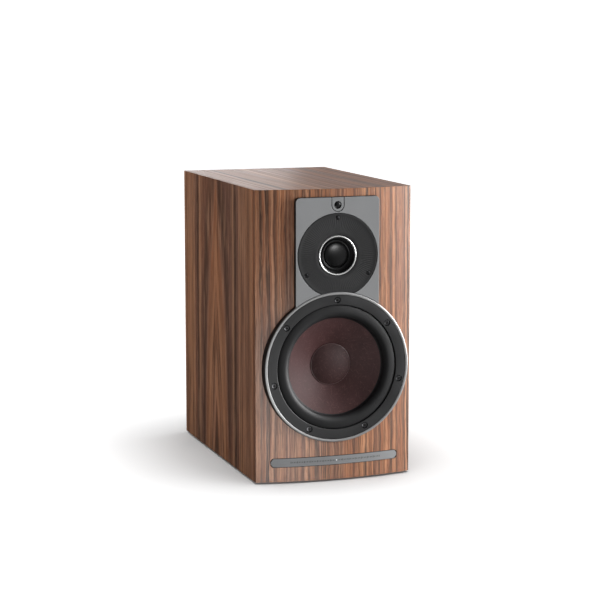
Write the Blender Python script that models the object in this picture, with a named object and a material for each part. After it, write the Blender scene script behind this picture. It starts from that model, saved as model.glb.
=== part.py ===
"""Active two-way bookshelf speaker with a bowed front baffle.

The speaker stands on the XY plane and faces -Y. X runs across it and Z up. The origin is at the
centre of its footprint, on the surface it stands on. Lengths in this file are in millimetres; the
functions that make meshes turn them into metres. A depth is measured inwards from the face plane,
the flat plane that the drivers' front trim lies in.
"""

import math

import bmesh
import bpy
from mathutils import Matrix, Vector

MM = 0.001

# ---------------------------------------------------------------- driving dimensions
WIDTH = 195.0
HEIGHT = 350.0
OVERALL_DEPTH = 335.0
SIDE_DEPTH = 306.0
BOW_SAG = 12.0
FACE_PROUD = 2.5
FOOT_HEIGHT = 2.0
PANEL = 18.0
VENEER = 0.6
GAP = 0.3

WOOFER_Z = 138.0
WOOFER_R = 90.0
WOOFER_SCREW_R = 80.5
WOOFER_SCREWS = 7
WOOFER_HEAD_R = 3.2
WOOFER_BORE_R = 2.3  # the bores that the screws' shanks pass through
WOOFER_OPENING_R = 73.6  # the hole through the baffle
CONE_R = 57.0
CONE_FLANGE_R = 59.0  # where the cone's flange ends, under the surround
COIL_R = 16.7
CAP_R = 24.5
CAP_RISE = 5.0

TWEETER_Z = 271.5
TWEETER_R = 49.9
TWEETER_SCREW_R = 44.5
TWEETER_SCREWS = 3
TWEETER_HEAD_R = 2.3
TWEETER_BORE_R = 1.8
TWEETER_OPENING_R = 38.2
DOME_R = 14.5

PLATE_HALF_WIDTH = 52.0
PLATE_TOP = 340.2
PLATE_THICKNESS = 6.2
EYE_Z = 331.0
EYE_TAB_R = 7.5
EYE_R = 4.1

BAR_Z = 25.4
BAR_HALF_LENGTH = 80.0
BAR_HALF_HEIGHT = 5.1
BAR_THICKNESS = 2.6

PORT_Z = 285.0
PORT_R = 22.0
AMP_HALF_WIDTH = 70.0
AMP_LOW, AMP_HIGH = 24.0, 204.0
ROCKER_TILT = 8.0

# ---------------------------------------------------------------- worked-out positions
SIDE_Y = SIDE_DEPTH / 2  # the bow's chord is at -SIDE_Y, and the rear panel's outer face at +SIDE_Y
APEX_Y = -SIDE_Y - BOW_SAG
FACE_Y = APEX_Y - FACE_PROUD
BACK_Y = FACE_Y + OVERALL_DEPTH  # the heat sink's fin tips, the rearmost point
HALF = WIDTH / 2
BOW_R = (HALF**2 + BOW_SAG**2) / (2 * BOW_SAG)
BOW_CENTRE_Y = APEX_Y + BOW_R
SHELL_X = HALF - VENEER - GAP  # outer faces of the wooden panels
SHELL_TOP = HEIGHT - VENEER - GAP
SHELL_LOW = FOOT_HEIGHT + GAP
INNER_X = SHELL_X - PANEL
BAFFLE_BACK_Y = -SIDE_Y + PANEL
REAR_FRONT_Y = SIDE_Y - PANEL
WOOFER_POCKET = 13.5  # depths of the pocket floors behind the face plane
TWEETER_POCKET = 6.5
FINE, MEDIUM, COARSE, TINY = 28, 20, 14, 9  # facets round a circle


# ---------------------------------------------------------------- mesh helpers
def material(name, colour, roughness, metallic=0.0):
    made = bpy.data.materials.get(name)
    if made:
        return made
    made = bpy.data.materials.new(name)
    made.use_nodes = True
    shader = made.node_tree.nodes["Principled BSDF"]
    shader.inputs["Base Color"].default_value = (*colour, 1.0)
    shader.inputs["Roughness"].default_value = roughness
    shader.inputs["Metallic"].default_value = metallic
    return made


def walnut():
    return material("walnut veneer", (0.30, 0.17, 0.10), 0.45)


def board():
    return material("fibreboard", (0.42, 0.30, 0.19), 0.8)


def black_plastic():
    return material("black moulded plastic", (0.03, 0.03, 0.032), 0.45)


def black_metal():
    return material("black coated aluminium", (0.03, 0.03, 0.03), 0.5, 0.3)


def grey_paint():
    return material("grey satin trim", (0.33, 0.33, 0.32), 0.45, 0.4)


def bright_aluminium():
    return material("bright aluminium", (0.75, 0.75, 0.74), 0.22, 1.0)


def rubber():
    return material("black rubber", (0.02, 0.02, 0.02), 0.6)


def wood_fibre():
    return material("wood fibre paper", (0.13, 0.055, 0.05), 0.7)


def steel():
    return material("zinc plated steel", (0.55, 0.55, 0.56), 0.35, 1.0)


def screw_black():
    return material("blackened steel", (0.03, 0.03, 0.03), 0.35, 1.0)


def ferrite():
    return material("ferrite", (0.08, 0.08, 0.085), 0.6)


def add_object(name, bm, finish, origin=(0.0, 0.0, 0.0)):
    """Makes the bmesh, in millimetres, an object of that name with its normals outwards and its origin,
    which a moving piece has on its joint's axis, at the point given."""
    bmesh.ops.recalc_face_normals(bm, faces=bm.faces)
    bmesh.ops.translate(bm, vec=-Vector(origin), verts=bm.verts)
    bmesh.ops.scale(bm, vec=Vector((MM, MM, MM)), verts=bm.verts)
    mesh = bpy.data.meshes.new(name)
    bm.to_mesh(mesh)
    bm.free()
    mesh.shade_smooth()
    mesh.set_sharp_from_angle(angle=math.radians(35))
    obj = bpy.data.objects.new(name, mesh)
    obj.location = Vector(origin) * MM
    bpy.context.scene.collection.objects.link(obj)
    if finish:
        obj.data.materials.append(finish)
    return obj


def prism(outline, low, high, along="Y"):
    """A bmesh of a flat outline pushed from low to high. Along Y the outline is (x, z), along Z (x, y),
    and along X (y, z)."""
    place = {
        "Y": lambda a, b, h: (a, h, b),
        "Z": lambda a, b, h: (a, b, h),
        "X": lambda a, b, h: (h, a, b),
    }[along]
    bm = bmesh.new()
    rings = [[bm.verts.new(place(a, b, h)) for a, b in outline] for h in (low, high)]
    count = len(outline)
    bm.faces.new(rings[0])
    bm.faces.new(rings[1])
    for i in range(count):
        j = (i + 1) % count
        bm.faces.new((rings[0][i], rings[0][j], rings[1][j], rings[1][i]))
    return bm


def block(low, high):
    """A bmesh of the box between two corners."""
    corners = [(low[0], low[2]), (high[0], low[2]), (high[0], high[2]), (low[0], high[2])]
    return prism(corners, low[1], high[1])


def lathe(profile, centre=(0.0, 0.0), segments=FINE, start_y=FACE_Y, phase=0.0):
    """A bmesh of a closed profile of (radius, depth) turned about the Y axis through centre (x, z).
    Depths run from start_y inwards. A radius of 0 is a point on the axis."""
    bm = bmesh.new()
    rings = []
    for radius, depth in profile:
        y = start_y + depth
        if radius == 0:
            rings.append([bm.verts.new((centre[0], y, centre[1]))] * segments)
            continue
        ring = []
        for k in range(segments):
            angle = phase + 2 * math.pi * k / segments
            x = centre[0] + radius * math.cos(angle)
            z = centre[1] + radius * math.sin(angle)
            ring.append(bm.verts.new((x, y, z)))
        rings.append(ring)
    for i, ring in enumerate(rings):
        following = rings[(i + 1) % len(rings)]
        for k in range(segments):
            m = (k + 1) % segments
            corners = list(dict.fromkeys((ring[k], ring[m], following[m], following[k])))
            if len(corners) > 2:
                bm.faces.new(corners)
    return bm


def arc(centre, radius, start, end, steps):
    """Points on an arc, angles in degrees, both ends included."""
    points = []
    for k in range(steps + 1):
        angle = math.radians(start + (end - start) * k / steps)
        points.append((centre[0] + radius * math.cos(angle), centre[1] + radius * math.sin(angle)))
    return points


def rounded_rectangle(low, high, radius, steps=4):
    """The outline of a rectangle between two corners, with round corners."""
    (x0, z0), (x1, z1) = low, high
    points = []
    for centre, start in (
        ((x1 - radius, z1 - radius), 0),
        ((x0 + radius, z1 - radius), 90),
        ((x0 + radius, z0 + radius), 180),
        ((x1 - radius, z0 + radius), 270),
    ):
        points += arc(centre, radius, start, start + 90, steps)
    return points


def bow_y(x, inset=0.0):
    """Y of the bowed front surface at x, or of the surface that lies inset behind it."""
    return BOW_CENTRE_Y - math.sqrt((BOW_R - inset) ** 2 - x**2)


def on_circle(count, radius, centre_z):
    """(x, z) of points spread evenly round a circle, the first at the top."""
    angles = [math.pi / 2 - 2 * math.pi * k / count for k in range(count)]
    return [(radius * math.cos(a), centre_z + radius * math.sin(a)) for a in angles]


def helper(bm):
    """A cutter or a shape to join: left out of the render."""
    obj = add_object("helper", bm, None)
    obj.hide_render = True
    obj.display_type = "WIRE"
    return obj


def combine(obj, other, operation="DIFFERENCE"):
    """Cuts obj by, or joins or trims it to, a bmesh or a helper object."""
    modifier = obj.modifiers.new(operation.title(), "BOOLEAN")
    modifier.operation = operation
    modifier.solver = "EXACT"
    modifier.object = other if isinstance(other, bpy.types.Object) else helper(other)
    return obj


def hole(obj, centre, radius, low_y, high_y, segments=TINY):
    """Drills obj along Y between two heights of Y."""
    profile = [(0, 0), (radius, 0), (radius, high_y - low_y), (0, high_y - low_y)]
    return combine(obj, lathe(profile, centre, segments, low_y))


# ---------------------------------------------------------------- cabinet
def front_baffle():
    steps = 24
    xs = [-SHELL_X + 2 * SHELL_X * k / steps for k in range(steps + 1)]
    outline = [(x, bow_y(x)) for x in xs] + [(SHELL_X, BAFFLE_BACK_Y), (-SHELL_X, BAFFLE_BACK_Y)]
    baffle = add_object("front_baffle", prism(outline, SHELL_LOW, SHELL_TOP, "Z"), walnut())
    beyond = 10.0  # how far the cutters reach past the wood
    ahead, behind = FACE_Y - beyond, BAFFLE_BACK_Y + beyond
    woofer_floor = FACE_Y + WOOFER_POCKET
    tweeter_floor = FACE_Y + TWEETER_POCKET
    plate_low = (-PLATE_HALF_WIDTH - GAP, WOOFER_Z + 40)
    plate_high = (PLATE_HALF_WIDTH + GAP, PLATE_TOP + GAP)
    combine(baffle, prism(rounded_rectangle(plate_low, plate_high, 5.3), ahead, tweeter_floor))
    hole(baffle, (0, WOOFER_Z), WOOFER_R + GAP, ahead, woofer_floor, FINE)
    hole(baffle, (0, WOOFER_Z), WOOFER_OPENING_R, ahead, behind, FINE)
    hole(baffle, (0, TWEETER_Z), TWEETER_OPENING_R, ahead, behind, MEDIUM)
    bar_pocket = helper(prism(bar_outline(GAP), ahead, -SIDE_Y))
    combine(bar_pocket, bow_band(-8, BAR_THICKNESS + GAP), "INTERSECT")
    combine(baffle, bar_pocket)
    for spot in on_circle(WOOFER_SCREWS, WOOFER_SCREW_R, WOOFER_Z):
        hole(baffle, spot, WOOFER_BORE_R, woofer_floor - 1, woofer_floor + 12, 8)
    for spot in on_circle(TWEETER_SCREWS, TWEETER_SCREW_R, TWEETER_Z):
        hole(baffle, spot, TWEETER_BORE_R, tweeter_floor - 1, tweeter_floor + 11, 8)


def cabinet_panels():
    front, rear = BAFFLE_BACK_Y + GAP, REAR_FRONT_Y - GAP
    for name, x0, x1 in (("side_left", -SHELL_X, -INNER_X), ("side_right", INNER_X, SHELL_X)):
        add_object(name, block((x0, front, SHELL_LOW), (x1, rear, SHELL_TOP)), board())
    across = INNER_X - GAP
    for name, z0, z1 in (
        ("top_panel", SHELL_TOP - PANEL, SHELL_TOP),
        ("bottom_panel", SHELL_LOW, SHELL_LOW + PANEL),
    ):
        add_object(name, block((-across, front, z0), (across, rear, z1)), board())


def veneers():
    """Thin sheets over both sides and the top. Each covers the edges of the baffle and rear panel."""
    front, rear = -SIDE_Y + 0.1, SIDE_Y
    for name, x0, x1 in (
        ("veneer_left", -HALF, -HALF + VENEER),
        ("veneer_right", HALF - VENEER, HALF),
    ):
        add_object(name, block((x0, front, SHELL_LOW), (x1, rear, SHELL_TOP)), walnut())
    steps = 24
    xs = [-HALF + 2 * HALF * k / steps for k in range(steps + 1)]
    outline = [(x, bow_y(x)) for x in xs] + [(HALF, rear), (-HALF, rear)]
    add_object("veneer_top", prism(outline, HEIGHT - VENEER, HEIGHT, "Z"), walnut())


def rear_panel():
    low, high = (-SHELL_X, REAR_FRONT_Y, SHELL_LOW), (SHELL_X, SIDE_Y, SHELL_TOP)
    panel = add_object("rear_panel", block(low, high), walnut())
    hole(panel, (0, PORT_Z), 33.0, REAR_FRONT_Y - 5, SIDE_Y + 5, MEDIUM)
    hole(panel, (0, PORT_Z), 38.3, SIDE_Y - 3, SIDE_Y + 5, MEDIUM)
    margin = 10.0  # the amplifier panel's overlap round its cut-out
    combine(
        panel,
        block(
            (-AMP_HALF_WIDTH + margin, REAR_FRONT_Y - 5, AMP_LOW + margin),
            (AMP_HALF_WIDTH - margin, SIDE_Y + 5, AMP_HIGH - margin),
        ),
    )


def window_brace():
    across = INNER_X - GAP
    low, high = SHELL_LOW + PANEL + GAP, SHELL_TOP - PANEL - GAP
    brace = add_object("window_brace", block((-across, -8, low), (across, 8, high)), board())
    for z0, z1 in ((low + 22, 162.0), (184.0, high - 22)):
        window = rounded_rectangle((-across + 22, z0), (across - 22, z1), 12, 3)
        combine(brace, prism(window, -12, 12))


def damping_pad():
    """A wool pad on the inside of the left wall, behind the brace."""
    x0 = -INNER_X + GAP
    felt = material("grey wool felt", (0.35, 0.34, 0.33), 0.95)
    add_object("damping_pad", block((x0, 12, 40), (x0 + 11, 112, 320)), felt)


def feet():
    for name, x, y in (
        ("foot_front_left", -78, -122),
        ("foot_front_right", 78, -122),
        ("foot_rear_left", -78, 122),
        ("foot_rear_right", 78, 122),
    ):
        outline = arc((x, y), 9, 0, 345, 23)
        add_object(name, prism(outline, 0, FOOT_HEIGHT, "Z"), rubber())


# ---------------------------------------------------------------- woofer
def cone_depth(radius):
    """Depth of the cone's front surface: a shallow flared cone that steepens towards the neck."""
    rim, neck = 8.6, 30.0
    share = (CONE_R - radius) / (CONE_R - COIL_R)
    return rim + (neck - rim) * (0.86 * share + 0.14 * share**2)


def woofer():
    centre = (0, WOOFER_Z)
    spots = on_circle(WOOFER_SCREWS, WOOFER_SCREW_R, WOOFER_Z)

    lip = [(WOOFER_R, 1.0), (89.2, 0.15), (88.4, 0), (87.5, 0.1), (86.9, 0.7)]
    bezel = lip + [(86.9, 13.2), (WOOFER_R, 13.2)]
    add_object("woofer_bezel", lathe(bezel, centre), bright_aluminium())

    face = [(86.6, 0.7), (86.3, 0.5), (75.2, 0.5), (73.7, 1.2), (73.0, 2.8), (73.0, 5.0), (86.6, 5.0)]
    ring = add_object("woofer_face_ring", lathe(face, centre), black_plastic())
    for spot in spots:
        hole(ring, spot, WOOFER_HEAD_R + 0.4, FACE_Y - 2, FACE_Y + 3.0)
        hole(ring, spot, WOOFER_BORE_R, FACE_Y - 2, FACE_Y + 8, 8)

    frame = [
        (86.5, 5.3), (73.1, 5.3), (73.1, 8.3), (70.2, 8.3), (70.2, 15.0), (54.5, 40.3), (47.0, 40.3),
        (47.0, 47.5), (27.0, 47.5), (27.0, 51.7), (57.5, 51.7), (57.5, 43.0), (73.1, 17.5), (73.1, 13.2),
        (86.5, 13.2),
    ]
    basket = add_object("woofer_basket", lathe(frame, centre), black_metal())
    for spot in spots:
        hole(basket, spot, WOOFER_BORE_R, FACE_Y + 2, FACE_Y + 16, 8)
    for k in range(3):
        cutter = block((-100, FACE_Y + 20, -15), (100, FACE_Y + 37, 15))
        turn = Matrix.Rotation(math.pi * k / 3, 4, "Y")
        bmesh.ops.transform(cutter, matrix=Matrix.Translation((0, 0, WOOFER_Z)) @ turn, verts=cutter.verts)
        combine(basket, cutter)

    roll = [(65.0 + 6.4 * math.cos(a), 7.2 - 6.2 * math.sin(a)) for a in half_turn(6)]
    under = [(65.0 + 5.5 * math.cos(a), 8.0 - 6.0 * math.sin(a)) for a in half_turn(6)]
    profile = [(72.7, 8.0), (72.7, 7.2)] + roll + [(57.4, 7.2), (57.4, 8.0)] + under[::-1]
    add_object("woofer_surround", lathe(profile, centre), rubber())

    radii = [CONE_R - (CONE_R - COIL_R - GAP) * k / 4 for k in range(5)]
    front = [(CONE_FLANGE_R, 8.3), (CONE_R, cone_depth(CONE_R))] + [(r, cone_depth(r)) for r in radii[1:]]
    back = [(r, cone_depth(r) + 1.4) for r in reversed(radii)] + [(CONE_FLANGE_R, 9.6)]
    axis = (0, FACE_Y, WOOFER_Z)
    add_object("woofer_cone", lathe(front + back, centre), wood_fibre(), axis)

    rim = cone_depth(CAP_R) - 1.3
    dome = [(r, rim - CAP_RISE * (1 - (r / CAP_R) ** 2)) for r in (CAP_R * k / 4 for k in range(5))]
    inner = [(r, depth + 1.0) for r, depth in reversed(dome)]
    add_object("woofer_dust_cap", lathe(dome + inner, centre, MEDIUM), wood_fibre(), axis)

    copper = material("copper winding", (0.55, 0.25, 0.12), 0.4, 1.0)
    winding = COIL_R + 0.6
    former = [
        (COIL_R, 29.2), (COIL_R, 50.5), (winding, 50.5), (winding, 58.5), (COIL_R, 58.5), (COIL_R, 62),
        (COIL_R - 0.6, 62), (COIL_R - 0.6, 29.2),
    ]
    add_object("woofer_voice_coil", lathe(former, centre, MEDIUM), copper, axis)

    spider()
    motor(centre)
    for k, (x, z) in enumerate(spots):
        socket_screw(f"woofer_screw_{k + 1}", (x, z), WOOFER_HEAD_R, 2.0, (1.0, 2.7, 24.0))


def half_turn(steps):
    return [math.pi * k / steps for k in range(steps + 1)]


def spider():
    """The corrugated fabric disc that centres the coil. Its outer edge rests on the basket's ledge."""
    inner_r, outer_r, steps = COIL_R + GAP, 46.0, 12
    waves = []
    for k in range(steps + 1):
        radius = inner_r + (outer_r - inner_r) * k / steps
        waves.append((radius, 39.3 - 1.4 * math.sin(2 * math.pi * 3 * k / steps)))
    upper = waves + [(53.8, 39.2)]
    lower = [(r, depth + 0.8) for r, depth in reversed(upper)]
    cloth = material("treated cotton", (0.55, 0.42, 0.2), 0.9)
    add_object("woofer_spider", lathe(upper + lower, (0, WOOFER_Z), MEDIUM), cloth)


def motor(centre):
    plate = [(50, 52), (17.9, 52), (17.9, 57), (50, 57)]
    add_object("woofer_top_plate", lathe(plate, centre, MEDIUM), steel())
    ring = [(52, 57.3), (24, 57.3), (24, 74), (52, 74)]
    add_object("woofer_magnet", lathe(ring, centre, MEDIUM), ferrite())
    yoke = [(15.5, 52), (4, 52), (4, 80), (50, 80), (50, 74.3), (15.5, 74.3)]
    add_object("woofer_yoke", lathe(yoke, centre, MEDIUM), steel())


def socket_screw(name, centre, head_r, shank_r, depths):
    """A screw with a hexagon socket. depths are those of the head's face, its underside and the tip."""
    face, under, tip = depths
    profile = [(0, face), (head_r - 0.4, face), (head_r, face + 0.5), (head_r, under)]
    profile += [(shank_r, under), (shank_r, tip - 2), (0, tip)]
    screw = add_object(name, lathe(profile, centre, TINY), screw_black())
    low_y, high_y = FACE_Y + face - 1, FACE_Y + face + (under - face) * 0.65
    hole(screw, centre, head_r * 0.5, low_y, high_y, 6)


# ---------------------------------------------------------------- tweeter and its plate
def tweeter_plate():
    low, high = (-PLATE_HALF_WIDTH, WOOFER_Z + 45), (PLATE_HALF_WIDTH, PLATE_TOP)
    plate = add_object(
        "tweeter_plate",
        prism(rounded_rectangle(low, high, 5), FACE_Y, FACE_Y + PLATE_THICKNESS),
        grey_paint(),
    )
    ahead, behind = FACE_Y - 5, FACE_Y + PLATE_THICKNESS + 5
    hole(plate, (0, WOOFER_Z), WOOFER_R + 0.4, ahead, behind, FINE * 2)
    hole(plate, (0, TWEETER_Z), TWEETER_R + GAP, ahead, behind, FINE)
    combine(plate, prism(tab_outline(EYE_TAB_R + GAP / 2, PLATE_TOP + 5), ahead, behind))


def tab_outline(radius, top):
    """A U standing on its round end, centred on the receiver eye."""
    return [(radius, top), (-radius, top)] + arc((0, EYE_Z), radius, 180, 360, 10)


def receiver_eye():
    tab = tab_outline(EYE_TAB_R - GAP / 2, PLATE_TOP)
    bezel = add_object("eye_tab", prism(tab, FACE_Y, FACE_Y + PLATE_THICKNESS), grey_paint())
    hole(bezel, (0, EYE_Z), EYE_R + GAP, FACE_Y - 5, FACE_Y + 12, COARSE)
    lens = [(0, 0.7), (EYE_R - 0.8, 0.9), (EYE_R, 1.6), (EYE_R, 6.0), (0, 6.0)]
    glass = material("dark lens", (0.01, 0.01, 0.012), 0.08)
    add_object("eye_lens", lathe(lens, (0, EYE_Z), COARSE), glass)


def tweeter():
    centre = (0, TWEETER_Z)
    spots = on_circle(TWEETER_SCREWS, TWEETER_SCREW_R, TWEETER_Z)
    back = PLATE_THICKNESS
    face = [(TWEETER_R, 0.6), (TWEETER_R - 0.4, 0.2), (24.2, 0.6), (23.8, 1.2)]
    disc = face + [(23.8, back), (TWEETER_R, back)]
    faceplate = add_object("tweeter_faceplate", lathe(disc, centre), black_plastic())
    hole(faceplate, (0, WOOFER_Z), WOOFER_R + 0.4, FACE_Y - 5, FACE_Y + 12, FINE * 2)
    for spot in spots:
        hole(faceplate, spot, TWEETER_HEAD_R + GAP, FACE_Y - 2, FACE_Y + 1.9)
        hole(faceplate, spot, TWEETER_BORE_R, FACE_Y - 2, FACE_Y + 10, 8)

    ring = [(23.4, 0.7), (22.9, 0.1), (22.1, 0), (21.3, 0.5), (20.8, 1.8), (20.8, 5.8), (23.4, 5.8)]
    add_object("tweeter_ring", lathe(ring, centre), bright_aluminium())

    silk = material("coated textile dome", (0.015, 0.015, 0.016), 0.35)
    dome_base, dome_height = 7.0, 6.2
    outer = [(14.9, dome_base)]
    inner = [(14.3, dome_base)]
    for k in range(1, 5):
        share = k / 4
        radius = DOME_R * math.cos(share * math.pi / 2)
        rise = dome_height * math.sin(share * math.pi / 2)
        outer.append((0 if k == 4 else radius, dome_base - rise))
        inner.append((0 if k == 4 else radius * 0.95, dome_base - rise + 0.6))
    axis = (0, FACE_Y, TWEETER_Z)
    add_object("tweeter_dome", lathe(outer + inner[::-1], centre, MEDIUM), silk, axis)

    roll = [(17.0 + 1.7 * math.cos(a), 7.0 - 1.7 * math.sin(a)) for a in half_turn(4)]
    under = [(17.0 + 1.2 * math.cos(a), 7.4 - 1.2 * math.sin(a)) for a in half_turn(4)]
    profile = [(20.5, 7.4), (20.5, 6.9)] + roll + under[::-1]
    add_object("tweeter_surround", lathe(profile, centre, MEDIUM), silk)

    copper = material("copper winding", (0.55, 0.25, 0.12), 0.4, 1.0)
    coil = [(14.6, 7.3), (14.6, 12.5), (14.0, 12.5), (14.0, 7.3)]
    add_object("tweeter_voice_coil", lathe(coil, centre, MEDIUM), copper, axis)

    can = [
        (35, 6.6), (21.0, 6.6), (21.0, 7.7), (15.1, 7.7), (15.1, 14), (13.5, 14), (13.5, 8.6), (3, 8.6),
        (3, 40), (33, 40), (35, 38),
    ]
    add_object("tweeter_motor", lathe(can, centre, MEDIUM), black_metal())
    for k, (x, z) in enumerate(spots):
        socket_screw(f"tweeter_screw_{k + 1}", (x, z), TWEETER_HEAD_R, 1.5, (0.6, 1.6, 16.0))


def bar_outline(margin):
    low = (-BAR_HALF_LENGTH - margin, BAR_Z - BAR_HALF_HEIGHT - margin)
    high = (BAR_HALF_LENGTH + margin, BAR_Z + BAR_HALF_HEIGHT + margin)
    return rounded_rectangle(low, high, 4 + margin)


def bow_band(front, back):
    """A curved slab at the height of the level bar, between two surfaces parallel to the bow."""
    steps, reach = 20, BAR_HALF_LENGTH + 5
    xs = [-reach + 2 * reach * k / steps for k in range(steps + 1)]
    outline = [(x, bow_y(x, front)) for x in xs] + [(x, bow_y(x, back)) for x in reversed(xs)]
    return prism(outline, BAR_Z - 10, BAR_Z + 10, "Z")


def level_bar():
    """The slim display bar, bent to the bow and let into a pocket of the same shape."""
    bar = add_object("level_bar", prism(bar_outline(0), FACE_Y - 5, -SIDE_Y), grey_paint())
    combine(bar, bow_band(-0.2, BAR_THICKNESS), "INTERSECT")


# ---------------------------------------------------------------- rear
def port_tube():
    """A tube flared at both ends, with a flange let into the rear panel."""
    inner = [
        (35.0, 0), (31.5, -1.2), (27.6, -5), (24.4, -12), (PORT_R, -24), (PORT_R, -88), (24.4, -100),
        (31, -107),
    ]
    outer = [
        (33.5, -105.5), (27.5, -97), (24.5, -86), (24.5, -24), (27.6, -13), (32.6, -3.2), (32.6, -2.7),
        (38, -2.7), (38, -0.4), (37.4, 0.2),
    ]
    profile = inner + outer
    add_object("port_tube", lathe(profile, (0, PORT_Z), MEDIUM, SIDE_Y + 0.2), black_plastic())


def amplifier():
    front, face = SIDE_Y + GAP, SIDE_Y + GAP + 3.0
    outline = rounded_rectangle((-AMP_HALF_WIDTH, AMP_LOW), (AMP_HALF_WIDTH, AMP_HIGH), 5)
    panel = add_object("amp_panel", prism(outline, front, face), black_metal())
    through = (front - 4, face + 4)
    knob_at, button_at, slider_at = (40.0, 122.0), (12.0, 122.0), (-20.0, 122.0)
    sockets = {"rca_socket_left": (-52.0, 133.0), "rca_socket_right": (-52.0, 111.0)}
    inlet_at, rocker_at = (36.0, 64.0), (-14.0, 64.0)
    hole(panel, knob_at, 3.5, *through, COARSE)
    hole(panel, button_at, 4.4, *through, COARSE)
    for spot in sockets.values():
        hole(panel, spot, 5.4, *through, COARSE)
    combine(panel, centred_block(slider_at, (14, 6), *through))
    combine(panel, centred_block(inlet_at, (28.2, 20.8), *through))
    combine(panel, centred_block(rocker_at, (13.0, 21.4), *through))

    heat_sink(face + GAP)
    knob = [(0, 9.6), (8.2, 9.6), (9, 8.8), (9, 0.6), (3.2, 0.6), (3.2, -8), (0, -8)]
    add_object("gain_knob", lathe(knob, knob_at, COARSE, face), black_metal(), axis_at(knob_at, face))
    button = [(0, 2.3), (3.6, 2.3), (4, 1.9), (4, -5), (0, -5)]
    shape = lathe(button, button_at, COARSE, face)
    add_object("pair_button", shape, black_plastic(), axis_at(button_at, face))
    lever = centred_block(slider_at, (5, 5), front - 2, face + 2.2)
    slider = add_object("input_slider", lever, black_plastic(), axis_at(slider_at, face))
    combine(slider, centred_block(slider_at, (22, 10), front - 2.4, front - 0.6), "UNION")
    brass = material("gold plated brass", (0.75, 0.55, 0.25), 0.3, 1.0)
    barrel = [
        (4.2, 9.4), (1.7, 9.4), (1.7, 1.0), (0, 1.0), (0, -10), (5, -10), (5, 0.3), (6.5, 0.3), (6.5, 2.2),
        (4.2, 2.2),
    ]
    for name, spot in sockets.items():
        add_object(name, lathe(barrel, spot, COARSE, face), brass)
    power_inlet(inlet_at, face)
    rocker_housing(rocker_at, face)
    power_rocker(rocker_at, face)


def axis_at(centre, y):
    return (centre[0], y, centre[1])


def centred_block(centre, size, low_y, high_y):
    """A block of size (x, z) round centre (x, z)."""
    (x, z), (across, tall) = centre, size
    return block((x - across / 2, low_y, z - tall / 2), (x + across / 2, high_y, z + tall / 2))


def heat_sink(back):
    """A base plate with upright fins, drawn as one comb-shaped outline seen from above."""
    fins, pitch, thick, half = 13, 8.0, 2.2, 52.0
    base = back + 2.0
    outline = [(-half, back), (half, back), (half, base)]
    for k in reversed(range(fins)):
        x = (k - (fins - 1) / 2) * pitch
        right, left = x + thick / 2, x - thick / 2
        outline += [(right, base), (right, BACK_Y), (left, BACK_Y), (left, base)]
    outline.append((-half, base))
    add_object("heat_sink", prism(outline, 148, 196, "Z"), black_metal())


def power_inlet(centre, face):
    """A three-blade mains inlet: flange, body, shrouded cavity and its blades."""
    x, z = centre
    flange = centred_block(centre, (31, 24), face + GAP, face + 2.3)
    inlet = add_object("power_inlet", flange, black_plastic())
    combine(inlet, centred_block(centre, (27.4, 20), face - 26, face + 1.5), "UNION")
    chamfer, wide, tall = 4.0, 12.0, 8.0
    cavity = [
        (x - wide, z - tall), (x + wide, z - tall), (x + wide, z + tall - chamfer),
        (x + wide - chamfer, z + tall), (x - wide + chamfer, z + tall), (x - wide, z + tall - chamfer),
    ]
    floor = face - 15
    combine(inlet, prism(cavity, floor, face + 10))
    for dx, dz in ((-7, -2), (7, -2), (0, 2.6)):
        blade = centred_block((x + dx, z + dz), (2, 4), floor - 2, face - 1)
        combine(inlet, blade, "UNION")


def rocker_housing(centre, face):
    """The bezel and well that the rocker turns in."""
    bezel = centred_block(centre, (15, 24), face + GAP, face + 2)
    housing = add_object("rocker_housing", bezel, black_plastic())
    combine(housing, centred_block(centre, (12.4, 20.8), face - 12, face + 1), "UNION")
    combine(housing, centred_block(centre, (10.6, 19.2), face - 10, face + 10))


def power_rocker(centre, face):
    """The rocker of the mains switch, at rest with its upper end pressed in."""
    x, z = centre
    half, pivot_y = 7.4, face - 3.0
    outline = [(-4, 1 - half), (4.8, -half), (5.2, -half), (3.8, 0), (5.2, half), (4.8, half), (-4, half - 1)]
    bm = prism(outline, -4.9, 4.9, "X")
    tilt = Matrix.Rotation(math.radians(ROCKER_TILT), 4, "X")
    bmesh.ops.transform(bm, matrix=Matrix.Translation((x, pivot_y, z)) @ tilt, verts=bm.verts)
    add_object("power_rocker", bm, black_plastic(), (x, pivot_y, z))


def amp_board():
    """The amplifier and supply board, with its transformer and reservoir capacitors."""
    epoxy = material("circuit board", (0.02, 0.12, 0.06), 0.5)
    y0, y1 = 120.0, 121.6
    made = add_object("amp_board", block((-56, y0, 40), (56, y1, 190)), epoxy)
    combine(made, block((14, y0 - 34, 48), (50, y0 + 0.4, 88)), "UNION")
    combine(made, block((-48, y0 - 16, 140), (-20, y0 + 0.4, 168)), "UNION")
    for x, z in ((-40, 60), (-16, 60)):
        can = [(0, y0 - 28), (9, y0 - 28), (9, y0 + 0.4), (0, y0 + 0.4)]
        combine(made, lathe(can, (x, z), TINY, 0), "UNION")


# ---------------------------------------------------------------- cables inside
def smooth_route(points, count):
    """Points on a Catmull-Rom curve through the given ones."""
    padded = [points[0], *points, points[-1]]
    spans = len(points) - 1
    route = []
    for k in range(count + 1):
        place = min(k * spans / count, spans - 1e-9)
        i, t = int(place), place - int(place)
        a, b, c, d = (Vector(p) for p in padded[i : i + 4])
        bend = (2 * a - 5 * b + 4 * c - d) * t**2 + (3 * b - a - 3 * c + d) * t**3
        route.append(0.5 * (2 * b + (c - a) * t + bend))
    return route


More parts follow.
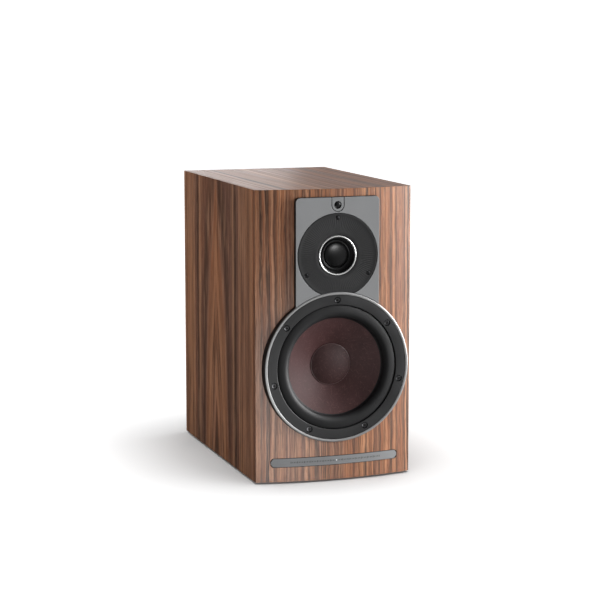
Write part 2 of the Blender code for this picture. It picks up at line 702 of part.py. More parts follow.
def cable(name, points, radius, count):
    curve = bpy.data.curves.new(name, "CURVE")
    curve.dimensions = "3D"
    curve.bevel_depth = radius * MM
    curve.bevel_resolution = 2
    curve.use_fill_caps = True
    route = smooth_route(points, count)
    spline = curve.splines.new("POLY")
    spline.points.add(len(route) - 1)
    for point, place in zip(spline.points, route):
        point.co = (*(place * MM), 1.0)
    obj = bpy.data.objects.new(name, curve)
    bpy.context.scene.collection.objects.link(obj)
    curve.materials.append(material("cable sheath", (0.25, 0.02, 0.02), 0.5))


def cables():
    board_y = 119.0
    woofer_run = [
        (30, board_y, 130), (32, 95, 128), (40, 30, 120), (46, -40, 122), (66, -95, 128),
        (64, FACE_Y + 48, 132),
    ]
    tweeter_run = [
        (-6, board_y, 150), (-8, 95, 170), (-16, 30, 214), (-16, -60, 246), (-10, -110, 262),
        (-8, FACE_Y + 40.6, 266),
    ]
    cable("woofer_cable", woofer_run, 1.8, 20)
    cable("tweeter_cable", tweeter_run, 1.6, 20)


def main():
    for obj in list(bpy.data.objects):
        bpy.data.objects.remove(obj)
    front_baffle()
    cabinet_panels()
    veneers()
    rear_panel()
    window_brace()
    damping_pad()
    feet()
    woofer()
    tweeter_plate()
    receiver_eye()
    tweeter()
    level_bar()
    port_tube()
    amplifier()
    amp_board()
    cables()


main()
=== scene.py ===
import math

import bmesh
import bpy
from mathutils import Matrix, Vector


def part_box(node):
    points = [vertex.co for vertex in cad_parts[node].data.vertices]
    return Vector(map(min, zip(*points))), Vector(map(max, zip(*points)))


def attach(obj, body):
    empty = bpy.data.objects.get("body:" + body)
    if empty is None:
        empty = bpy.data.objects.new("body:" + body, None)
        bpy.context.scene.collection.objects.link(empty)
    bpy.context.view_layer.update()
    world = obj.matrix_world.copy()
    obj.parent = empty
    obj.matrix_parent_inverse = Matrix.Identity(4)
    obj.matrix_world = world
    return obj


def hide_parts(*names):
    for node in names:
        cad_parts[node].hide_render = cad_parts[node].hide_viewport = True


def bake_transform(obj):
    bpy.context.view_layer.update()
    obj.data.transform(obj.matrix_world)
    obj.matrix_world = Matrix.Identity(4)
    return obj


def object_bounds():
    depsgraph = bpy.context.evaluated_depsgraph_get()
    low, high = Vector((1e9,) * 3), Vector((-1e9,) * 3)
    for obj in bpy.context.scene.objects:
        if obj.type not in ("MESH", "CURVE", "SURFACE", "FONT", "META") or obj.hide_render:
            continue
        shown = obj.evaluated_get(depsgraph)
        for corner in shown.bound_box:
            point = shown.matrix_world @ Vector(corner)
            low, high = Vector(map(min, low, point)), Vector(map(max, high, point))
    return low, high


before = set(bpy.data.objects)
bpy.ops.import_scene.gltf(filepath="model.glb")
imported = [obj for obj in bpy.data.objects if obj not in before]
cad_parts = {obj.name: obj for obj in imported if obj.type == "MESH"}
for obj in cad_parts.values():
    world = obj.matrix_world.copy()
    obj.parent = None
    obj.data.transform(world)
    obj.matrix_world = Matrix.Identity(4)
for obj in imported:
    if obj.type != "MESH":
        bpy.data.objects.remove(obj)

CAD_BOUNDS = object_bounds()
MM = 0.001


def box_mm(node):
    """The lowest and highest corner of a CAD node, in millimetres."""
    low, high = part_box(node)
    return low / MM, high / MM


def centre_of(node):
    """(x, z) of a node's middle, in millimetres."""
    low, high = box_mm(node)
    return (low.x + high.x) / 2, (low.z + high.z) / 2


# ---------------------------------------------------------------- places from the frame, in millimetres
WHOLE_LOW, WHOLE_HIGH = (Vector(corner) / MM for corner in CAD_BOUNDS)
BEZEL_LOW, BEZEL_HIGH = box_mm("woofer_bezel")
PLATE_LOW, PLATE_HIGH = box_mm("tweeter_plate")
BAFFLE_LOW, BAFFLE_HIGH = box_mm("front_baffle")
REAR_LOW, REAR_HIGH = box_mm("rear_panel")
BAR_LOW, BAR_HIGH = box_mm("level_bar")
TOP_LOW, TOP_HIGH = box_mm("veneer_top")
AMP_LOW, AMP_HIGH = box_mm("amp_panel")

HALF = WHOLE_HIGH.x
FACE_Y = WHOLE_LOW.y
TOP_Z = TOP_HIGH.z
SKIRT_Z = BAFFLE_LOW.z
APEX_Y = TOP_LOW.y
REAR_Y = REAR_HIGH.y
CHORD_Y = -REAR_Y
SAG = CHORD_Y - APEX_Y
BOW_R = (HALF**2 + SAG**2) / (2 * SAG)
BOW_CENTRE_Y = APEX_Y + BOW_R
VENEER = TOP_HIGH.z - TOP_LOW.z

WOOFER_Z = (BEZEL_LOW.z + BEZEL_HIGH.z) / 2
WOOFER_R = BEZEL_HIGH.x
WOOFER_DEPTH = BEZEL_HIGH.y - FACE_Y
RING_OUTER = box_mm("woofer_face_ring")[1].x
CONE_REACH = box_mm("woofer_cone")[1].x
CAP_R = box_mm("woofer_dust_cap")[1].x
COIL_R = 16.7
CONE_RIM, CONE_NECK = 8.4, 30.0

TWEETER_Z = centre_of("tweeter_dome")[1]
DISC_R = box_mm("tweeter_faceplate")[1].x
DOME_EDGE = box_mm("tweeter_dome")[1].x
PLATE_THICKNESS = PLATE_HIGH.y - FACE_Y
EYE_Z = centre_of("eye_lens")[1]
EYE_R = box_mm("eye_lens")[1].x
TAB_R = box_mm("eye_tab")[1].x
AMP_FACE = AMP_HIGH.y

ROUND = 192  # facets round the large rings


# ---------------------------------------------------------------- material building
def srgb(red, green, blue):
    """A linear colour from sRGB values of 0 to 255."""
    def linear(value):
        value /= 255
        return value / 12.92 if value <= 0.04045 else ((value + 0.055) / 1.055) ** 2.4

    return (linear(red), linear(green), linear(blue), 1.0)


BLACK, GREY, WHITE = (0, 0, 0, 1), (0.35, 0.35, 0.35, 1), (1, 1, 1, 1)


class Tree:
    """Short calls for building a node tree."""

    def __init__(self, tree):
        self.tree = tree

    def add(self, kind, values=None, **settings):
        node = self.tree.nodes.new(kind)
        for key, value in settings.items():
            setattr(node, key, value)
        for socket, value in (values or {}).items():
            self.put(node.inputs[socket], value)
        return node

    def put(self, socket, value):
        if isinstance(value, bpy.types.NodeSocket):
            self.tree.links.new(value, socket)
        else:
            socket.default_value = value

    def math(self, operation, a, b=0.0):
        return self.add("ShaderNodeMath", {0: a, 1: b}, operation=operation).outputs[0]

    def times(self, a, b):
        return self.math("MULTIPLY", a, b)

    def plus(self, a, b):
        return self.math("ADD", a, b)

    def minus(self, a, b):
        return self.math("SUBTRACT", a, b)

    def here(self):
        """The point in the object's own space, in metres."""
        return self.add("ShaderNodeTexCoord").outputs["Object"]

    def place(self):
        """x, y and z of that point."""
        return self.add("ShaderNodeSeparateXYZ", {0: self.here()}).outputs

    def vector(self, x, y, z):
        return self.add("ShaderNodeCombineXYZ", {0: x, 1: y, 2: z}).outputs[0]

    def noise(self, vector, scale, detail=2.0, roughness=0.5):
        values = {"Vector": vector, "Scale": scale, "Detail": detail, "Roughness": roughness}
        return self.add("ShaderNodeTexNoise", values).outputs["Fac"]

    def stretched(self, a, b, seed, across, along, detail=2.0, roughness=0.5):
        """Noise over two lengths, with across features to a metre of a and along to a metre of b."""
        space = self.vector(self.times(a, across), self.times(b, along), seed)
        return self.noise(space, 1.0, detail, roughness)

    def noise_along(self, value, scale, detail=2.0, roughness=0.5):
        """Noise of one number."""
        values = {"W": value, "Scale": scale, "Detail": detail, "Roughness": roughness}
        return self.add("ShaderNodeTexNoise", values, noise_dimensions="1D").outputs["Fac"]

    def spread(self, value, low, high, out_low=0.0, out_high=1.0):
        """Stretches low..high to out_low..out_high, clamped."""
        values = {0: value, 1: low, 2: high, 3: out_low, 4: out_high}
        return self.add("ShaderNodeMapRange", values).outputs[0]

    def ramp(self, value, stops):
        node = self.add("ShaderNodeValToRGB", {0: value})
        while len(node.color_ramp.elements) < len(stops):
            node.color_ramp.elements.new(0.5)
        for element, (place, colour) in zip(node.color_ramp.elements, stops):
            element.position = place
            element.color = colour
        return node.outputs["Color"]

    def mix(self, share, a, b, blend="MIX"):
        node = self.add("ShaderNodeMix", data_type="RGBA", blend_type=blend)
        self.put(node.inputs["Factor"], share)
        self.put(node.inputs[6], a)
        self.put(node.inputs[7], b)
        return node.outputs[2]

    def tint(self, base, value, low, high, most, colour):
        """base, turned towards a colour by up to most as value goes from low to high."""
        return self.mix(self.spread(value, low, high, 0.0, most), base, colour)

    def bump(self, height, distance, strength=1.0):
        values = {"Height": height, "Distance": distance, "Strength": strength}
        return self.add("ShaderNodeBump", values).outputs[0]


class Nodes(Tree):
    """One material and its node tree."""

    def __init__(self, name):
        self.material = bpy.data.materials.new(name)
        self.material.use_nodes = True
        super().__init__(self.material.node_tree)
        self.shader = self.tree.nodes["Principled BSDF"]

    def finish(self, **sockets):
        """Sets or links the shader's sockets, named in lower case with underscores."""
        for key, value in sockets.items():
            self.put(self.shader.inputs[key.replace("_", " ").title().replace("Ior", "IOR")], value)
        return self.material


def scaled(colour, factor):
    return (colour[0] * factor, colour[1] * factor, colour[2] * factor, 1.0)


def moulded(name, colour, roughness, grain=900.0, depth=0.00004, variation=0.12, metallic=0.0, level=0.5):
    """A material with a fine grain, faint cloudy variation in colour and uneven gloss: moulded plastic,
    rubber, powder coat or cast parts, by its numbers. grain is in grains per metre, and level is the shader's
    specular level."""
    nodes = Nodes(name)
    where = nodes.here()
    clouds = nodes.noise(where, 28, 3)
    fine = nodes.noise(where, grain, 2, 0.6)
    tone = nodes.mix(clouds, scaled(colour, 1 - variation), scaled(colour, 1 + variation))
    gloss = nodes.spread(clouds, 0.3, 0.7, max(0.02, roughness - 0.05), roughness + 0.05)
    nodes.finish(base_color=tone, roughness=gloss, normal=nodes.bump(fine, depth))
    return nodes.finish(metallic=metallic, specular_ior_level=level)


def turned_metal(name, colour, roughness, centre, metallic=1.0):
    """Bright metal with fine lathe lines round a centre (x, z) in millimetres."""
    nodes = Nodes(name)
    x, _, z = nodes.place()
    dx = nodes.minus(x, centre[0] * MM)
    dz = nodes.minus(z, centre[1] * MM)
    squares = nodes.plus(nodes.times(dx, dx), nodes.times(dz, dz))
    radius = nodes.math("SQRT", squares)
    lines = nodes.noise_along(radius, 9000, 2)
    tone = nodes.mix(lines, scaled(colour, 0.9), scaled(colour, 1.06))
    gloss = nodes.spread(lines, 0.2, 0.8, roughness * 0.8, roughness * 1.25)
    relief = nodes.bump(lines, 0.00001, 0.5)
    return nodes.finish(base_color=tone, roughness=gloss, normal=relief, metallic=metallic)


def walnut(name, across, along, heart=0.5, slope=0.0, core=0.02, seed=0.0, wander=0.006, pitch=1.0,
           ripple=0.0, figure=1.0, bold=1.0, rough=(0.62, 0.4)):
    """Walnut veneer. across and along are the indices of the axes across and along the grain. The growth
    rings are contours round a line that runs at a slope through the sheet, beside it at heart, so they make
    straight stripes far from it and pointed arches over it. A smaller pitch spreads the rings out. The
    grain wavers by wander over the whole sheet and by ripple every few centimetres. figure shortens the
    streaks and bold deepens them. rough is the roughness of dark and of pale grain. Lengths are in metres."""
    nodes = Nodes(name)
    place = nodes.place()
    u = nodes.minus(place[across], heart)
    v = place[along]
    bend = nodes.stretched(u, v, seed, 14, 3.4, 3, 0.55)
    u = nodes.plus(u, nodes.times(nodes.minus(bend, 0.5), wander))
    if ripple:
        shiver = nodes.stretched(u, v, seed + 4, 70, 26)
        u = nodes.plus(u, nodes.times(nodes.minus(shiver, 0.5), ripple))
    near = nodes.spread(nodes.math("ABSOLUTE", u), 0.065, 0.012)
    rise = nodes.times(nodes.plus(nodes.times(v, slope), core), near)
    blunt = nodes.math("SQRT", nodes.plus(nodes.times(u, u), 0.003**2))
    ring = nodes.plus(blunt, rise)
    ring = nodes.times(nodes.plus(ring, seed), pitch)

    broad = nodes.stretched(u, v, seed + 6, 16, 3)
    band = nodes.noise_along(ring, 42, 3, 0.55)
    colour = nodes.ramp(
        band,
        [
            (0.30, srgb(66, 40, 31)),
            (0.42, srgb(98, 61, 46)),
            (0.50, srgb(116, 70, 44)),
            (0.58, srgb(122, 79, 52)),
            (0.70, srgb(143, 98, 68)),
        ],
    )
    colour = nodes.tint(colour, broad, 0.52, 0.68, 0.5, srgb(132, 76, 42))
    colour = nodes.tint(colour, broad, 0.46, 0.32, 0.45, srgb(92, 62, 54))
    stripe = nodes.noise_along(nodes.plus(ring, 5), 170, 3, 0.6)
    colour = nodes.tint(colour, stripe, 0.5, 0.7, 0.6 * bold, srgb(156, 113, 84))
    colour = nodes.tint(colour, stripe, 0.5, 0.3, 0.75 * bold, srgb(54, 30, 19))

    fade = nodes.spread(nodes.stretched(u, v, seed + 2, 60, 5 * figure), 0.38, 0.58, 0.3, 1.0)
    contours = ((11, 95, 0.9, srgb(32, 19, 12)), (17, 230, 0.62, srgb(48, 29, 19)))
    for shift, frequency, strength, dark in contours:
        contour = nodes.noise_along(nodes.plus(ring, shift), frequency, 1)
        line = nodes.ramp(contour, [(0.49, BLACK), (0.5, WHITE), (0.53, GREY), (0.62, BLACK)])
        share = nodes.times(nodes.times(line, fade), strength * bold)
        colour = nodes.mix(share, colour, dark)

    streaks = nodes.stretched(u, v, seed, 520 * pitch, 6 * figure, 3, 0.6)
    colour = nodes.tint(colour, streaks, 0.56, 0.72, 0.45 * bold, srgb(166, 124, 95))
    colour = nodes.tint(colour, streaks, 0.44, 0.3, 0.6 * bold, srgb(46, 25, 15))
    fibre = nodes.stretched(u, v, seed, 1500, 36, 2, 0.6)
    colour = nodes.tint(colour, fibre, 0.35, 0.75, 0.2, srgb(166, 126, 98))
    pores = nodes.spread(nodes.stretched(u, v, seed + 9, 2400, 110, 1), 0.62, 0.72)
    colour = nodes.mix(nodes.times(pores, 0.5), colour, srgb(40, 26, 20))

    grain = nodes.plus(nodes.times(stripe, 0.55), nodes.times(streaks, 0.45))
    gloss = nodes.spread(grain, 0.35, 0.65, *rough)
    relief = nodes.minus(nodes.times(fibre, 0.35), pores)
    nodes.finish(base_color=colour, roughness=gloss, normal=nodes.bump(relief, 0.00006, 0.6))
    return nodes.finish(specular_ior_level=0.3, coat_weight=0.14, coat_roughness=0.32)


def wood_fibre(name, shade):
    """Dark maroon pulp with pale wood fibres lying every way in it. shade scales its brightness."""
    nodes = Nodes(name)
    x, _, z = nodes.place()
    clouds = nodes.noise(nodes.vector(x, 0.0, z), 45, 3)
    colour = nodes.mix(clouds, scaled(srgb(42, 21, 21), shade), scaled(srgb(59, 34, 34), shade))
    fibres = 0.0
    for turn in (0.2, 0.9, 1.6, 2.5):
        side, ahead = math.cos(turn), math.sin(turn)
        run = nodes.plus(nodes.times(x, ahead), nodes.times(z, side))
        over = nodes.minus(nodes.times(x, side), nodes.times(z, ahead))
        strand = nodes.spread(nodes.stretched(over, run, turn, 1300, 130, 2, 0.6), 0.63, 0.74)
        fibres = nodes.math("MAXIMUM", strand, fibres)
    colour = nodes.mix(nodes.times(fibres, 0.16), colour, srgb(140, 104, 100))
    relief = nodes.bump(fibres, 0.00008, 0.8)
    return nodes.finish(base_color=colour, roughness=0.62, normal=relief, specular_ior_level=0.18)


def pressed_board(name, colour):
    """Raw fibreboard: short flecks in a warm brown."""
    nodes = Nodes(name)
    where = nodes.here()
    flecks = nodes.noise(where, 1400, 3, 0.7)
    clouds = nodes.noise(where, 20, 2)
    tone = nodes.mix(nodes.spread(flecks, 0.35, 0.65), scaled(colour, 0.72), scaled(colour, 1.2))
    tone = nodes.tint(tone, clouds, 0.3, 0.7, 0.2, scaled(colour, 0.6))
    return nodes.finish(base_color=tone, roughness=0.85, normal=nodes.bump(flecks, 0.0001))


def woven(name, colour, threads):
    """Cloth with two sets of threads, threads of each to a metre."""
    nodes = Nodes(name)
    x, y, z = nodes.place()
    pitch = 2 * math.pi * threads
    warp = nodes.math("SINE", nodes.times(x, pitch))
    weft = nodes.math("SINE", nodes.times(nodes.plus(z, y), pitch))
    weave = nodes.spread(nodes.times(warp, weft), -1.0, 1.0)
    tone = nodes.mix(weave, scaled(colour, 0.65), scaled(colour, 1.15))
    return nodes.finish(base_color=tone, roughness=0.85, normal=nodes.bump(weave, 0.0002))


def circuit_board():
    """Green solder mask with paler copper tracks under it."""
    nodes = Nodes("circuit board")
    x, _, z = nodes.place()
    cells = nodes.add("ShaderNodeTexVoronoi", {"Vector": nodes.vector(x, 0.0, z), "Scale": 140.0})
    cells.distance = "MANHATTAN"
    tracks = nodes.spread(cells.outputs["Distance"], 0.25, 0.3)
    tone = nodes.mix(tracks, srgb(22, 74, 44), srgb(34, 104, 60))
    return nodes.finish(base_color=tone, roughness=0.4, normal=nodes.bump(tracks, 0.00003))


def felt():
    """Grey wool with loose fibres."""
    nodes = Nodes("wool felt")
    fuzz = nodes.noise(nodes.here(), 600, 4, 0.75)
    dark, middle, pale = srgb(92, 90, 88), srgb(150, 147, 143), srgb(196, 192, 186)
    tone = nodes.ramp(fuzz, [(0.35, dark), (0.5, middle), (0.65, pale)])
    relief = nodes.bump(fuzz, 0.0006)
    return nodes.finish(base_color=tone, roughness=0.95, normal=relief, sheen_weight=0.3)


# ---------------------------------------------------------------- mesh building, in millimetres
def shade(mesh, angle=32.0):
    """Smooth, with edges sharp where faces meet at more than an angle."""
    mesh.shade_smooth()
    mesh.set_sharp_from_angle(angle=math.radians(angle))


def piece(name, bm, materials, angle=32.0):
    """Makes the bmesh an object with its normals outwards and its round faces smooth."""
    bmesh.ops.recalc_face_normals(bm, faces=bm.faces)
    bmesh.ops.scale(bm, vec=Vector((MM, MM, MM)), verts=bm.verts)
    mesh = bpy.data.meshes.new(name)
    bm.to_mesh(mesh)
    bm.free()
    shade(mesh, angle)
    obj = bpy.data.objects.new(name, mesh)
    bpy.context.scene.collection.objects.link(obj)
    for material in materials if isinstance(materials, (list, tuple)) else [materials]:
        mesh.materials.append(material)
    return obj


def apply_modifiers(obj, keep_normals=False):
    """Turns what the modifiers make into the object's own mesh, shaded anew unless its normals are kept."""
    bpy.context.view_layer.update()
    graph = bpy.context.evaluated_depsgraph_get()
    shaped = obj.evaluated_get(graph)
    mesh = bpy.data.meshes.new_from_object(shaped, preserve_all_data_layers=keep_normals, depsgraph=graph)
    obj.modifiers.clear()
    obj.data = mesh
    if not keep_normals:
        shade(mesh)


def combine(obj, bm, operation="DIFFERENCE"):
    """Cuts or joins a closed bmesh into obj at once."""
    other = piece("cutter", bm, [])
    modifier = obj.modifiers.new("cut", "BOOLEAN")
    modifier.operation = operation
    modifier.solver = "EXACT"
    modifier.object = other
    apply_modifiers(obj)
    bpy.data.objects.remove(other)
    return obj


def bevelled(obj, width, segments=3, angle=40.0):
    """Rounds the sharp edges by width millimetres."""
    modifier = obj.modifiers.new("edges", "BEVEL")
    modifier.width = width * MM
    modifier.segments = segments
    modifier.limit_method = "ANGLE"
    modifier.angle_limit = math.radians(angle)
    apply_modifiers(obj)
    obj.modifiers.new("flat faces stay flat", "WEIGHTED_NORMAL").keep_sharp = True
    apply_modifiers(obj, keep_normals=True)
    return obj


def rings_to_bmesh(rings, closed=False):
    """Skins lists of points, each as long as the next. Closed joins the last to the first, and otherwise
    both ends are capped."""
    bm = bmesh.new()
    made = [[bm.verts.new(point) for point in ring] for ring in rings]
    pairs = list(zip(made, made[1:] + made[:1])) if closed else list(zip(made, made[1:]))
    count = len(made[0])
    for first, second in pairs:
        for k in range(count):
            m = (k + 1) % count
            bm.faces.new((first[k], first[m], second[m], second[k]))
    if not closed:
        bm.faces.new(made[0])
        bm.faces.new(made[-1])
    return bm


def lathe(profile, centre=(0.0, 0.0), segments=ROUND, start_y=None, phase=0.0):
    """A closed profile of (radius, depth) turned about the Y axis through centre (x, z)."""
    start_y = FACE_Y if start_y is None else start_y
    bm = bmesh.new()
    rings = []
    for radius, depth in profile:
        if radius == 0:
            rings.append([bm.verts.new((centre[0], start_y + depth, centre[1]))] * segments)
            continue
        ring = []
        for k in range(segments):
            turn = phase + 2 * math.pi * k / segments
            x, z = centre[0] + radius * math.cos(turn), centre[1] + radius * math.sin(turn)
            ring.append(bm.verts.new((x, start_y + depth, z)))
        rings.append(ring)
    for ring, following in zip(rings, rings[1:] + rings[:1]):
        for k in range(segments):
            m = (k + 1) % segments
            corners = list(dict.fromkeys((ring[k], ring[m], following[m], following[k])))
            if len(corners) > 2:
                bm.faces.new(corners)
    return bm


def drum(centre, radius, low_y, high_y, segments=64):
    """A cylinder along Y."""
    profile = [(0, 0), (radius, 0), (radius, high_y - low_y), (0, high_y - low_y)]
    return lathe(profile, centre, segments, low_y)


def prism(outline, low_y, high_y):
    """An outline of (x, z) pushed along Y."""
    return rings_to_bmesh([[(x, y, z) for x, z in outline] for y in (low_y, high_y)])


def moved(bm, matrix):
    bmesh.ops.transform(bm, matrix=matrix, verts=bm.verts)
    return bm


def block(low, high):
    outline = [(low[0], low[2]), (high[0], low[2]), (high[0], high[2]), (low[0], high[2])]
    return prism(outline, low[1], high[1])


def arc(centre, radius, start, end, steps, height=None):
    """Points on an arc, or on an elliptic one where a height is given. Angles are in degrees."""
    height = radius if height is None else height
    points = []
    for k in range(steps + 1):
        angle = math.radians(start + (end - start) * k / steps)
        points.append((centre[0] + radius * math.cos(angle), centre[1] + height * math.sin(angle)))
    return points


def rounded_rectangle(low, high, radius, steps=12):
    (x0, z0), (x1, z1) = low, high
    left, right, low_z, high_z = x0 + radius, x1 - radius, z0 + radius, z1 - radius
    points = []
    for k, corner in enumerate(((right, high_z), (left, high_z), (left, low_z), (right, low_z))):
        points += arc(corner, radius, 90 * k, 90 * k + 90, steps)
    return points


def bow_y(x, inset=0.0):
    """Y of the bowed front at x, or of the surface that lies inset behind it."""
    return BOW_CENTRE_Y - math.sqrt((BOW_R - inset) ** 2 - x**2)


def shown(obj, slot, *nodes, body="cabinet"):
    """Lets obj move with a body and stand for CAD nodes."""
    if nodes:
        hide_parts(*nodes)
    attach(obj, body)
    return obj


def solid(name, bm, materials, slot, *nodes, body="cabinet", angle=32.0):
    """A piece that is shown as soon as it is made."""
    return shown(piece(name, bm, materials, angle), slot, *nodes, body=body)


# ---------------------------------------------------------------- cabinet
SIDE_WOOD = walnut("walnut side", across=1, along=2, heart=0.008, slope=0.13, core=0.0, seed=1.7, pitch=0.45,
                   ripple=0.002, figure=2.0, rough=(0.5, 0.3))
SIDE_WOOD_RIGHT = walnut("walnut right side", across=1, along=2, heart=0.03, slope=0.12, core=0.0, seed=6.2,
                         pitch=0.5)
FRONT_WOOD = walnut("walnut front", across=0, along=2, heart=0.42, slope=0.01, seed=3.4, wander=0.012,
                    pitch=1.3, ripple=0.0035, figure=3.5, bold=1.35, rough=(0.5, 0.3))
TOP_WOOD = walnut("walnut top", across=0, along=1, heart=0.3, slope=0.02, seed=8.1, bold=0.65)
REAR_WOOD = walnut("walnut rear", across=0, along=2, heart=-0.3, slope=0.02, seed=12.5)
BLACK_PLASTIC = moulded("black moulded plastic", srgb(21, 21, 22), 0.48, grain=1500, depth=0.00003,
                        level=0.32)
BLACK_SMOOTH = moulded("smooth black plastic", srgb(26, 26, 27), 0.28, grain=700, depth=0.00001)
BLACK_COATED = moulded("black powder coat", srgb(34, 34, 35), 0.5, grain=2200, depth=0.00006)
BLACK_RUBBER = moulded("black rubber", srgb(20, 20, 21), 0.52, grain=2600, depth=0.00003, variation=0.2,
                       level=0.26)
GREY_SATIN = moulded("silver grey satin", srgb(97, 98, 99), 0.55, grain=3200, depth=0.00002, variation=0.03,
                     metallic=0.15)
# Black for sides, edges and tick marks; in the screw sockets and on the eye tab's bevels it is painted shade.
BLACK_EDGES_AND_PAINTED_SHADE = moulded("black edge paint", srgb(24, 22, 21), 0.55, grain=1800)
MITRE = 0.15
CHAMFER = 0.3


def side_sheet(sign):
    """One side's veneer, mitred to the front and the top and with a slight chamfer there."""
    levels = [(HALF, CHAMFER), (HALF - MITRE, MITRE), (HALF - VENEER, VENEER)]
    rings = []
    for x, inset in levels:
        low_y, high_z = CHORD_Y + inset, TOP_Z - inset
        ring = [(low_y, SKIRT_Z), (REAR_Y, SKIRT_Z), (REAR_Y, high_z), (low_y, high_z)]
        rings.append([(sign * x, y, z) for y, z in ring])
    return rings_to_bmesh(rings)


def bow_outline(inset, steps=96):
    """Plan points along the front, inset from the bow and from both sides, left to right."""
    reach = HALF - max(inset, CHAMFER)
    xs = [-reach + 2 * reach * k / steps for k in range(steps + 1)]
    return [(x, bow_y(x, inset)) for x in xs]


def baffle_outline(inset):
    """The baffle's plan: the bow, a mitre at each end, and the straight back."""
    mitre_x, mitre_y = HALF - MITRE - inset, CHORD_Y + MITRE + inset
    inner_x, inner_y = HALF - VENEER - 0.02 - inset, CHORD_Y + VENEER + inset
    right = [(mitre_x, mitre_y), (inner_x, inner_y), (inner_x, BAFFLE_HIGH.y)]
    left = [(-x, y) for x, y in reversed(right)]
    return bow_outline(inset) + right + left


def baffle():
    levels = [(SKIRT_Z, 0), (TOP_Z - CHAMFER, 0), (TOP_Z - MITRE, MITRE), (TOP_Z - VENEER - 0.02, VENEER)]
    rings = [[(x, y, z) for x, y in baffle_outline(inset)] for z, inset in levels]
    obj = piece("front_baffle_veneered", rings_to_bmesh(rings), FRONT_WOOD)
    ahead, behind = FACE_Y - 10, BAFFLE_HIGH.y + 10
    floor = PLATE_HIGH.y + 0.3
    low = (PLATE_LOW.x - 0.5, WOOFER_Z + 40)
    high = (PLATE_HIGH.x + 0.5, PLATE_HIGH.z + 0.5)
    combine(obj, prism(rounded_rectangle(low, high, 5.5), ahead, floor))
    combine(obj, drum((0, WOOFER_Z), WOOFER_R + 0.35, ahead, BEZEL_HIGH.y + 0.3, ROUND))
    woofer_opening, tweeter_opening = 73.6, 38.2
    combine(obj, drum((0, WOOFER_Z), woofer_opening, ahead, behind, ROUND))
    combine(obj, drum((0, TWEETER_Z), tweeter_opening, ahead, behind, 96))
    gap = 0.6
    bar = rounded_rectangle((BAR_LOW.x - gap, BAR_LOW.z - gap), (BAR_HIGH.x + gap, BAR_HIGH.z + gap), 4.6)
    combine(obj, prism(bar, ahead, BAR_HIGH.y + 0.3))
    shown(obj, "walnut_veneer", "front_baffle")


def cabinet():
    baffle()
    for name, sign, wood in (("veneer_left", -1, SIDE_WOOD), ("veneer_right", 1, SIDE_WOOD_RIGHT)):
        solid(name + "_sheet", side_sheet(sign), wood, "walnut_veneer", name)

    rings = []
    for z, inset in ((TOP_Z - VENEER, VENEER), (TOP_Z - MITRE, MITRE), (TOP_Z, CHAMFER)):
        front = bow_outline(inset)
        side_x = HALF - inset
        corners = [(side_x, CHORD_Y + inset), (side_x, REAR_Y), (-side_x, REAR_Y), (-side_x, CHORD_Y + inset)]
        rings.append([(x, y, z) for x, y in front + corners])
    solid("veneer_top_sheet", rings_to_bmesh(rings), TOP_WOOD, "walnut_veneer", "veneer_top")

    rear = piece("rear_panel_veneered", block(REAR_LOW, REAR_HIGH), REAR_WOOD)
    port_bore, port_flange, margin = 33.0, 38.3, 10
    combine(rear, drum(centre_of("port_tube"), port_bore, REAR_LOW.y - 5, REAR_HIGH.y + 5, 96))
    combine(rear, drum(centre_of("port_tube"), port_flange, REAR_HIGH.y - 3, REAR_HIGH.y + 5, 96))
    low = (AMP_LOW.x + margin, REAR_LOW.y - 5, AMP_LOW.z + margin)
    high = (AMP_HIGH.x - margin, REAR_HIGH.y + 5, AMP_HIGH.z - margin)
    combine(rear, block(low, high))
    shown(rear, "walnut_veneer", "rear_panel")

    for corner in ("front_left", "front_right", "rear_left", "rear_right"):
        low, high = box_mm("foot_" + corner)
        radius = (high.x - low.x) / 2
        top = high.z - low.z - 0.05
        profile = [(0, 0), (radius - 0.6, 0), (radius, 0.5), (radius, top), (0, top)]
        bm = lathe(profile, (0, 0), 64, 0)
        turn = Matrix.Translation(((low.x + high.x) / 2, (low.y + high.y) / 2, low.z))
        upright = Matrix.Rotation(math.radians(90), 4, "X")
        bm = moved(bm, turn @ upright)
        solid("foot_pad_" + corner, bm, BLACK_RUBBER, "black_rubber", "foot_" + corner)


# ---------------------------------------------------------------- woofer
def cone_depth(radius):
    """Depth of the cone's front surface, a shallow flare that steepens towards the neck."""
    share = (CONE_REACH - radius) / (CONE_REACH - COIL_R)
    return CONE_RIM + (CONE_NECK - CONE_RIM) * (0.86 * share + 0.14 * share**2)


def woofer_trim(centre, spots):
    silver = turned_metal("turned aluminium", srgb(128, 128, 128), 0.42, centre, 0.6)
    black_wall_from = 1.2
    lip = [(WOOFER_R, 1.1), (89.85, 0.55), (89.4, 0.18), (88.7, 0.02), (88.0, 0.0), (87.4, 0.08), (87.0, 0.3)]
    bezel = lip + [(86.9, 0.7), (86.9, WOOFER_DEPTH), (WOOFER_R, WOOFER_DEPTH)]
    obj = piece("woofer_bezel_ring", lathe(bezel, centre), [silver, BLACK_EDGES_AND_PAINTED_SHADE])
    # The bezel's outer wall is black behind this depth.
    for face in obj.data.polygons:
        if (face.center.y / MM - FACE_Y) > black_wall_from:
            face.material_index = 1
    shown(obj, "bright_aluminium", "woofer_bezel")

    shoulder = arc((75.6, 1.4), 0.9, 270, 180, 6)
    face = [(RING_OUTER, 0.8), (86.45, 0.56), (86.1, 0.5), (80, 0.5)] + shoulder
    face += [(74.7, 5.0), (RING_OUTER, 5.0)]
    ring = piece("woofer_face_ring_turned", lathe(face, centre), BLACK_PLASTIC)
    well, well_depth = 3.9, 3.2
    for spot in spots:
        combine(ring, drum(spot, well, FACE_Y - 2, FACE_Y + well_depth, 48))
    shown(ring, "black_plastic", "woofer_face_ring")


